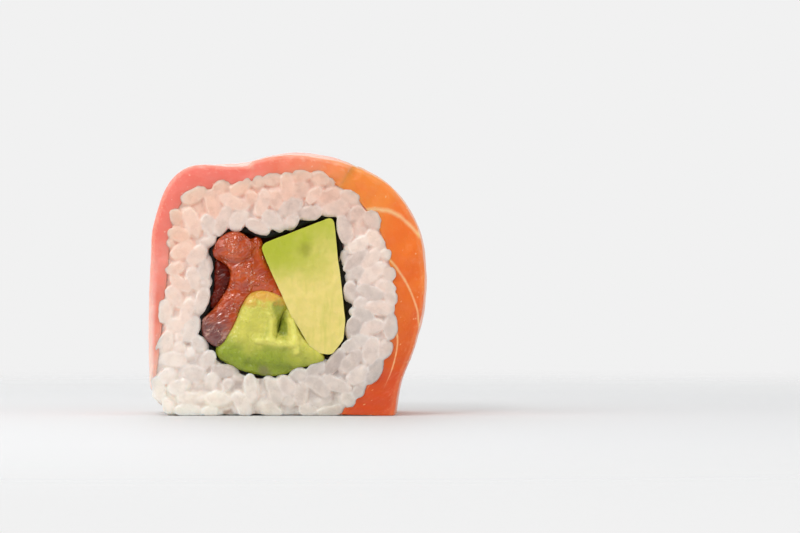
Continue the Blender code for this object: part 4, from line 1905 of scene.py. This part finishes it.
@dataclass
class Studio:
    """A pale floor that fades out, soft lights and the camera. Lengths are in millimetres.

    lights are square: each has its name, its place, its side and its power in watts. The world shines as
    dome, and wet surfaces mirror it as horizon, or as mirrored where they face the front.
    """

    look_at: Pair = (18.9, 24.9)
    distance: float = 700.0
    lens: float = 189.0
    backdrop: Colour = linear(241, 241, 241)
    dome: float = 0.63
    mirrored: float = 0.12
    horizon: float = 0.9
    floor_radius: float = 900.0
    floor_fade: Pair = (60.0, 320.0)
    floor_colour: Colour = linear(222, 223, 224)
    floor_roughness: float = 0.6
    floor_specular: float = 0.2
    lit: Triple = (0.0, 0.0, 20.0)
    lights: tuple[tuple[str, Triple, float, float], ...] = (
        ("window_left", (-260.0, -130.0, 230.0), 260.0, 0.35),
        ("fill_front", (-260.0, -520.0, 400.0), 420.0, 0.4),
        ("fill_right", (340.0, -160.0, 200.0), 260.0, 0.3),
        ("key", (-170.0, -360.0, 400.0), 110.0, 0.52),
        ("rim_back", (-120.0, 380.0, 400.0), 400.0, 0.7),
    )

    def floor(self) -> None:
        """A round floor that fades into the backdrop far from the roll."""
        made = bmesh.new()
        bmesh.ops.create_circle(made, cap_ends=True, segments=96, radius=self.floor_radius * MM)
        mesh = bpy.data.meshes.new("floor")
        made.to_mesh(mesh)
        made.free()
        material = bpy.data.materials.new("pale_floor")
        material.use_nodes = True
        shader = material.node_tree.nodes["Principled BSDF"].inputs
        shader["Base Color"].default_value = self.floor_colour
        shader["Roughness"].default_value = self.floor_roughness
        shader["Specular IOR Level"].default_value = self.floor_specular
        paint = Paint(material.node_tree)
        away = paint.measure("LENGTH", paint.place())
        paint.link(paint.fall(away, *self.floor_fade), shader["Alpha"])
        mesh.materials.append(material)
        linked("floor", mesh)

    def light(self, name: str, place: Triple, side: float, power: float) -> None:
        """A square soft light that looks at the roll.

        Args:
            name: the light's name.
            place: its middle, in millimetres.
            side: the length of its sides, in millimetres.
            power: its power in watts.
        """
        lamp = bpy.data.lights.new(name, "AREA")
        lamp.size = side * MM
        lamp.energy = power
        thing = linked(name, lamp)
        thing.location = Vector(place) * MM
        aim = Vector(self.lit) * MM - thing.location
        thing.rotation_euler = aim.to_track_quat("-Z", "Y").to_euler()

    def world(self) -> None:
        """A pale backdrop that lights the roll evenly, and is mirrored dimly by what faces the front."""
        world = bpy.data.worlds.new("backdrop")
        bpy.context.scene.world = world
        world.use_nodes = True
        paint = Paint(world.node_tree)
        seen = world.node_tree.nodes["Background"]
        seen.inputs["Color"].default_value = self.backdrop
        back = paint.axes(paint.node("TexCoord").outputs["Generated"])[1]
        ahead = paint.fall(back, -0.35, 0.5)
        ray = paint.node("LightPath").outputs
        mirrored = paint.math("MULTIPLY_ADD", ahead, self.mirrored - self.horizon, self.horizon - self.dome)
        strength = paint.math("MULTIPLY_ADD", ray["Is Glossy Ray"], mirrored, self.dome)
        lighting = paint.node("Background", {"Color": (1.0, 1.0, 1.0, 1.0), "Strength": strength})
        choice = {0: ray["Is Camera Ray"], 1: lighting.outputs[0], 2: seen.outputs[0]}
        result = world.node_tree.nodes["World Output"].inputs["Surface"]
        paint.link(paint.node("MixShader", choice).outputs[0], result)

    def camera(self) -> None:
        """The camera at the photograph's place: level, a little to the right of the roll."""
        data = bpy.data.cameras.new("camera")
        data.lens = self.lens
        data.clip_start, data.clip_end = 0.01, 20.0
        thing = linked("camera", data)
        thing.location = Vector((self.look_at[0], -HALF - self.distance, self.look_at[1])) * MM
        thing.rotation_euler = (math.pi / 2, 0.0, 0.0)
        bpy.context.scene.camera = thing

    def build(self) -> None:
        """Sets up everything round the roll."""
        self.floor()
        self.world()
        for settings in self.lights:
            self.light(*settings)
        self.camera()
        bpy.context.scene.view_settings.view_transform = "Standard"
        LOG.info("studio: floor, backdrop, %d lights and camera", len(self.lights))


def rice_pieces() -> list[Piece]:
    """The rice: grains behind both cut faces and along the foot, round a core.

    Returns:
        The pieces, not yet built.
    """
    finish = RiceFinish("rice", 0.2, 1.0, 1.8, (1.0, 0.85, 0.75), sheen=0.2)
    common = (finish, Slot.RICE, ("rice",))
    field = RiceField()
    return [
        RiceGrains("rice_front", *common, field, Side.FRONT, seed=6),
        RiceGrains("rice_back", *common, field, Side.BACK, seed=7),
        RiceGrains("rice_foot", *common, field, Side.FOOT, seed=8),
        RiceCore("rice_core", *common),
    ]


def avocado_pieces() -> list[Piece]:
    """The two strips of avocado, and the crushed filling behind all the strips.

    Returns:
        The pieces, not yet built.
    """
    tint = (1.0, 0.8, 0.25)
    wedge = AvocadoFinish(
        "avocado_wedge", 0.34, 0.4, 1.2, tint,
        green_at=(-1.0, 30.5), pale_at=(4.0, 20.5), bruise_at=(3.1, 27.8),
    )
    fold = AvocadoFinish(
        "avocado_fold", 0.2, 0.4, 1.2, tint, green_at=(-2.0, 8.0), pale_at=(-1.0, 13.5),
        green=linear(150, 166, 46), flesh=linear(220, 213, 98), stain_above=18.6, relief=0.8,
        bruise_at=(-3.7, 7.4), bruise=linear(128, 112, 88),
    )
    crushed = AvocadoFinish(
        "filling_bed", 0.4, green_at=(-5.0, 22.0), pale_at=(2.0, 12.0),
        green=linear(70, 34, 24), flesh=linear(170, 172, 70),
    )
    return [
        FillingBed("filling_bed", crushed, Slot.AVOCADO, ("nori",)),
        FillingStrip(
            "avocado_strip", wedge, Slot.AVOCADO, ("avocado_wedge",),
            voxel=0.22, softening=1, swell=0.2, lumps=0.08, overshoot=0.9,
        ),
        AvocadoFold("avocado_folded", fold, Slot.AVOCADO, ("avocado_fold",), swell=0.8, seed=3.0),
    ]


def fish_pieces() -> list[Piece]:
    """The strips of fish in the filling.

    Returns:
        The pieces, not yet built.
    """
    salmon = FillingFishFinish(
        "fish_strips", 0.13, 0.6, 1.2, specular=1.0, deep=linear(172, 60, 22), pale=linear(206, 91, 38),
        membrane_end=6.0, right_deep=linear(182, 62, 12), right_pale=linear(208, 92, 28),
    )
    tuna = FillingFishFinish(
        "fish_dark", 0.26, 0.6, 1.2, specular=0.35, deep=linear(76, 8, 0), pale=linear(117, 24, 3),
        fleck_share=0.04, relief=0.7, drops=0.3, glints=0.25,
    )
    return [
        FishStrips(
            "fish_strips", salmon, Slot.FILLING_SALMON, ("salmon_lobe", "salmon_back"),
            softening=6, swell=0.5, lumps=0.22, lump_size=3.4,
        ),
        FillingStrip(
            "fish_dark", tuna, Slot.FILLING_TUNA, ("tuna_strip",),
            softening=5, swell=0.6, lumps=0.25, seed=7.0,
        ),
    ]


def slice_pieces() -> list[Piece]:
    """The slices over the rice. Tuna and salmon meet in one colour at the same distance round the roll.

    Returns:
        The pieces, not yet built.
    """
    meeting = (63.5, linear(252, 148, 74))
    tuna = SliceFishFinish(
        "tuna", 0.36, 0.6, 1.6, (1.0, 0.55, 0.4), coat=0.25, coat_roughness=0.2,
        stops=(
            # the first stops are paler: painted light low on the left
            (0.0, linear(253, 208, 194)), (7.0, linear(249, 176, 158)), (14.0, linear(245, 158, 140)),
            (30.0, linear(246, 140, 126)), (46.0, linear(247, 130, 114)), (55.0, linear(251, 149, 119)),
            meeting,
        ),
        pale=linear(255, 202, 180), skin=0.2, streaks=0.32, thin_to=27.0,
    )
    salmon = SliceFishFinish(
        "salmon", 0.36, 0.6, 1.6, (1.0, 0.5, 0.2), coat=0.25, coat_roughness=0.2,
        stops=(
            meeting, (72.0, linear(254, 146, 54)), (82.0, linear(250, 136, 34)),
            # the last stops are darker: painted shade low on the right
            (92.0, linear(233, 110, 24)), (99.0, linear(221, 93, 13)), (106.0, linear(223, 88, 4)),
        ),
        pale=linear(255, 206, 150), skin=0.12, outer=linear(240, 122, 48), outer_share=0.3,
        fat_period=10.4, fat_start=70.0, fat_width=0.055,
    )
    avocado = SliceAvocadoFinish("avocado_slice", 0.4, 0.3, 1.2, (1.0, 0.8, 0.25), coat=0.35)
    return [
        TunaSlices(
            "tuna_slices", tuna, Slot.TUNA, ("tuna_topping",),
            ((0.0, 0.0), (10.3, 0.0), (0.0, 1.0), (6.6, 1.0)),
            columns=190, front=0.22, lifts=(0.0, 0.35), frays=(1.6, 1.4), joins=(False, True), seed=11.0,
        ),
        DrapedSlice(
            "avocado_slice", avocado, Slot.AVOCADO, ("avocado_topping",),
            ((9.7, 0.05), (10.25, 0.05), (6.3, 1.0), (11.0, 1.0)),
            columns=80, lifts=(-0.7, -0.6), seed=13.0,
        ),
        DrapedSlice(
            "salmon_slice", salmon, Slot.SALMON, ("salmon_topping",),
            ((10.0, 0.0), (17.0, 0.0), (10.75, 1.0), (17.0, 1.0)),
            columns=140, lifts=(0.15, 0.0), frays=(0.8, 0.6), joins=(True, False), seed=15.0,
        ),
    ]


def nori_pieces() -> list[Piece]:
    """The sheet round the filling."""
    return [NoriSleeve("nori_sheet", NoriFinish("nori", 0.5, specular=0.3), Slot.NORI, ("nori",))]


def main() -> None:
    """Builds the roll and the studio round it."""
    logging.basicConfig(level=logging.INFO, format="%(name)s: %(message)s")
    for group in (rice_pieces, nori_pieces, avocado_pieces, fish_pieces, slice_pieces):
        for piece in group():
            piece.build()
    Studio().build()


if __name__ == "__main__":
    main()
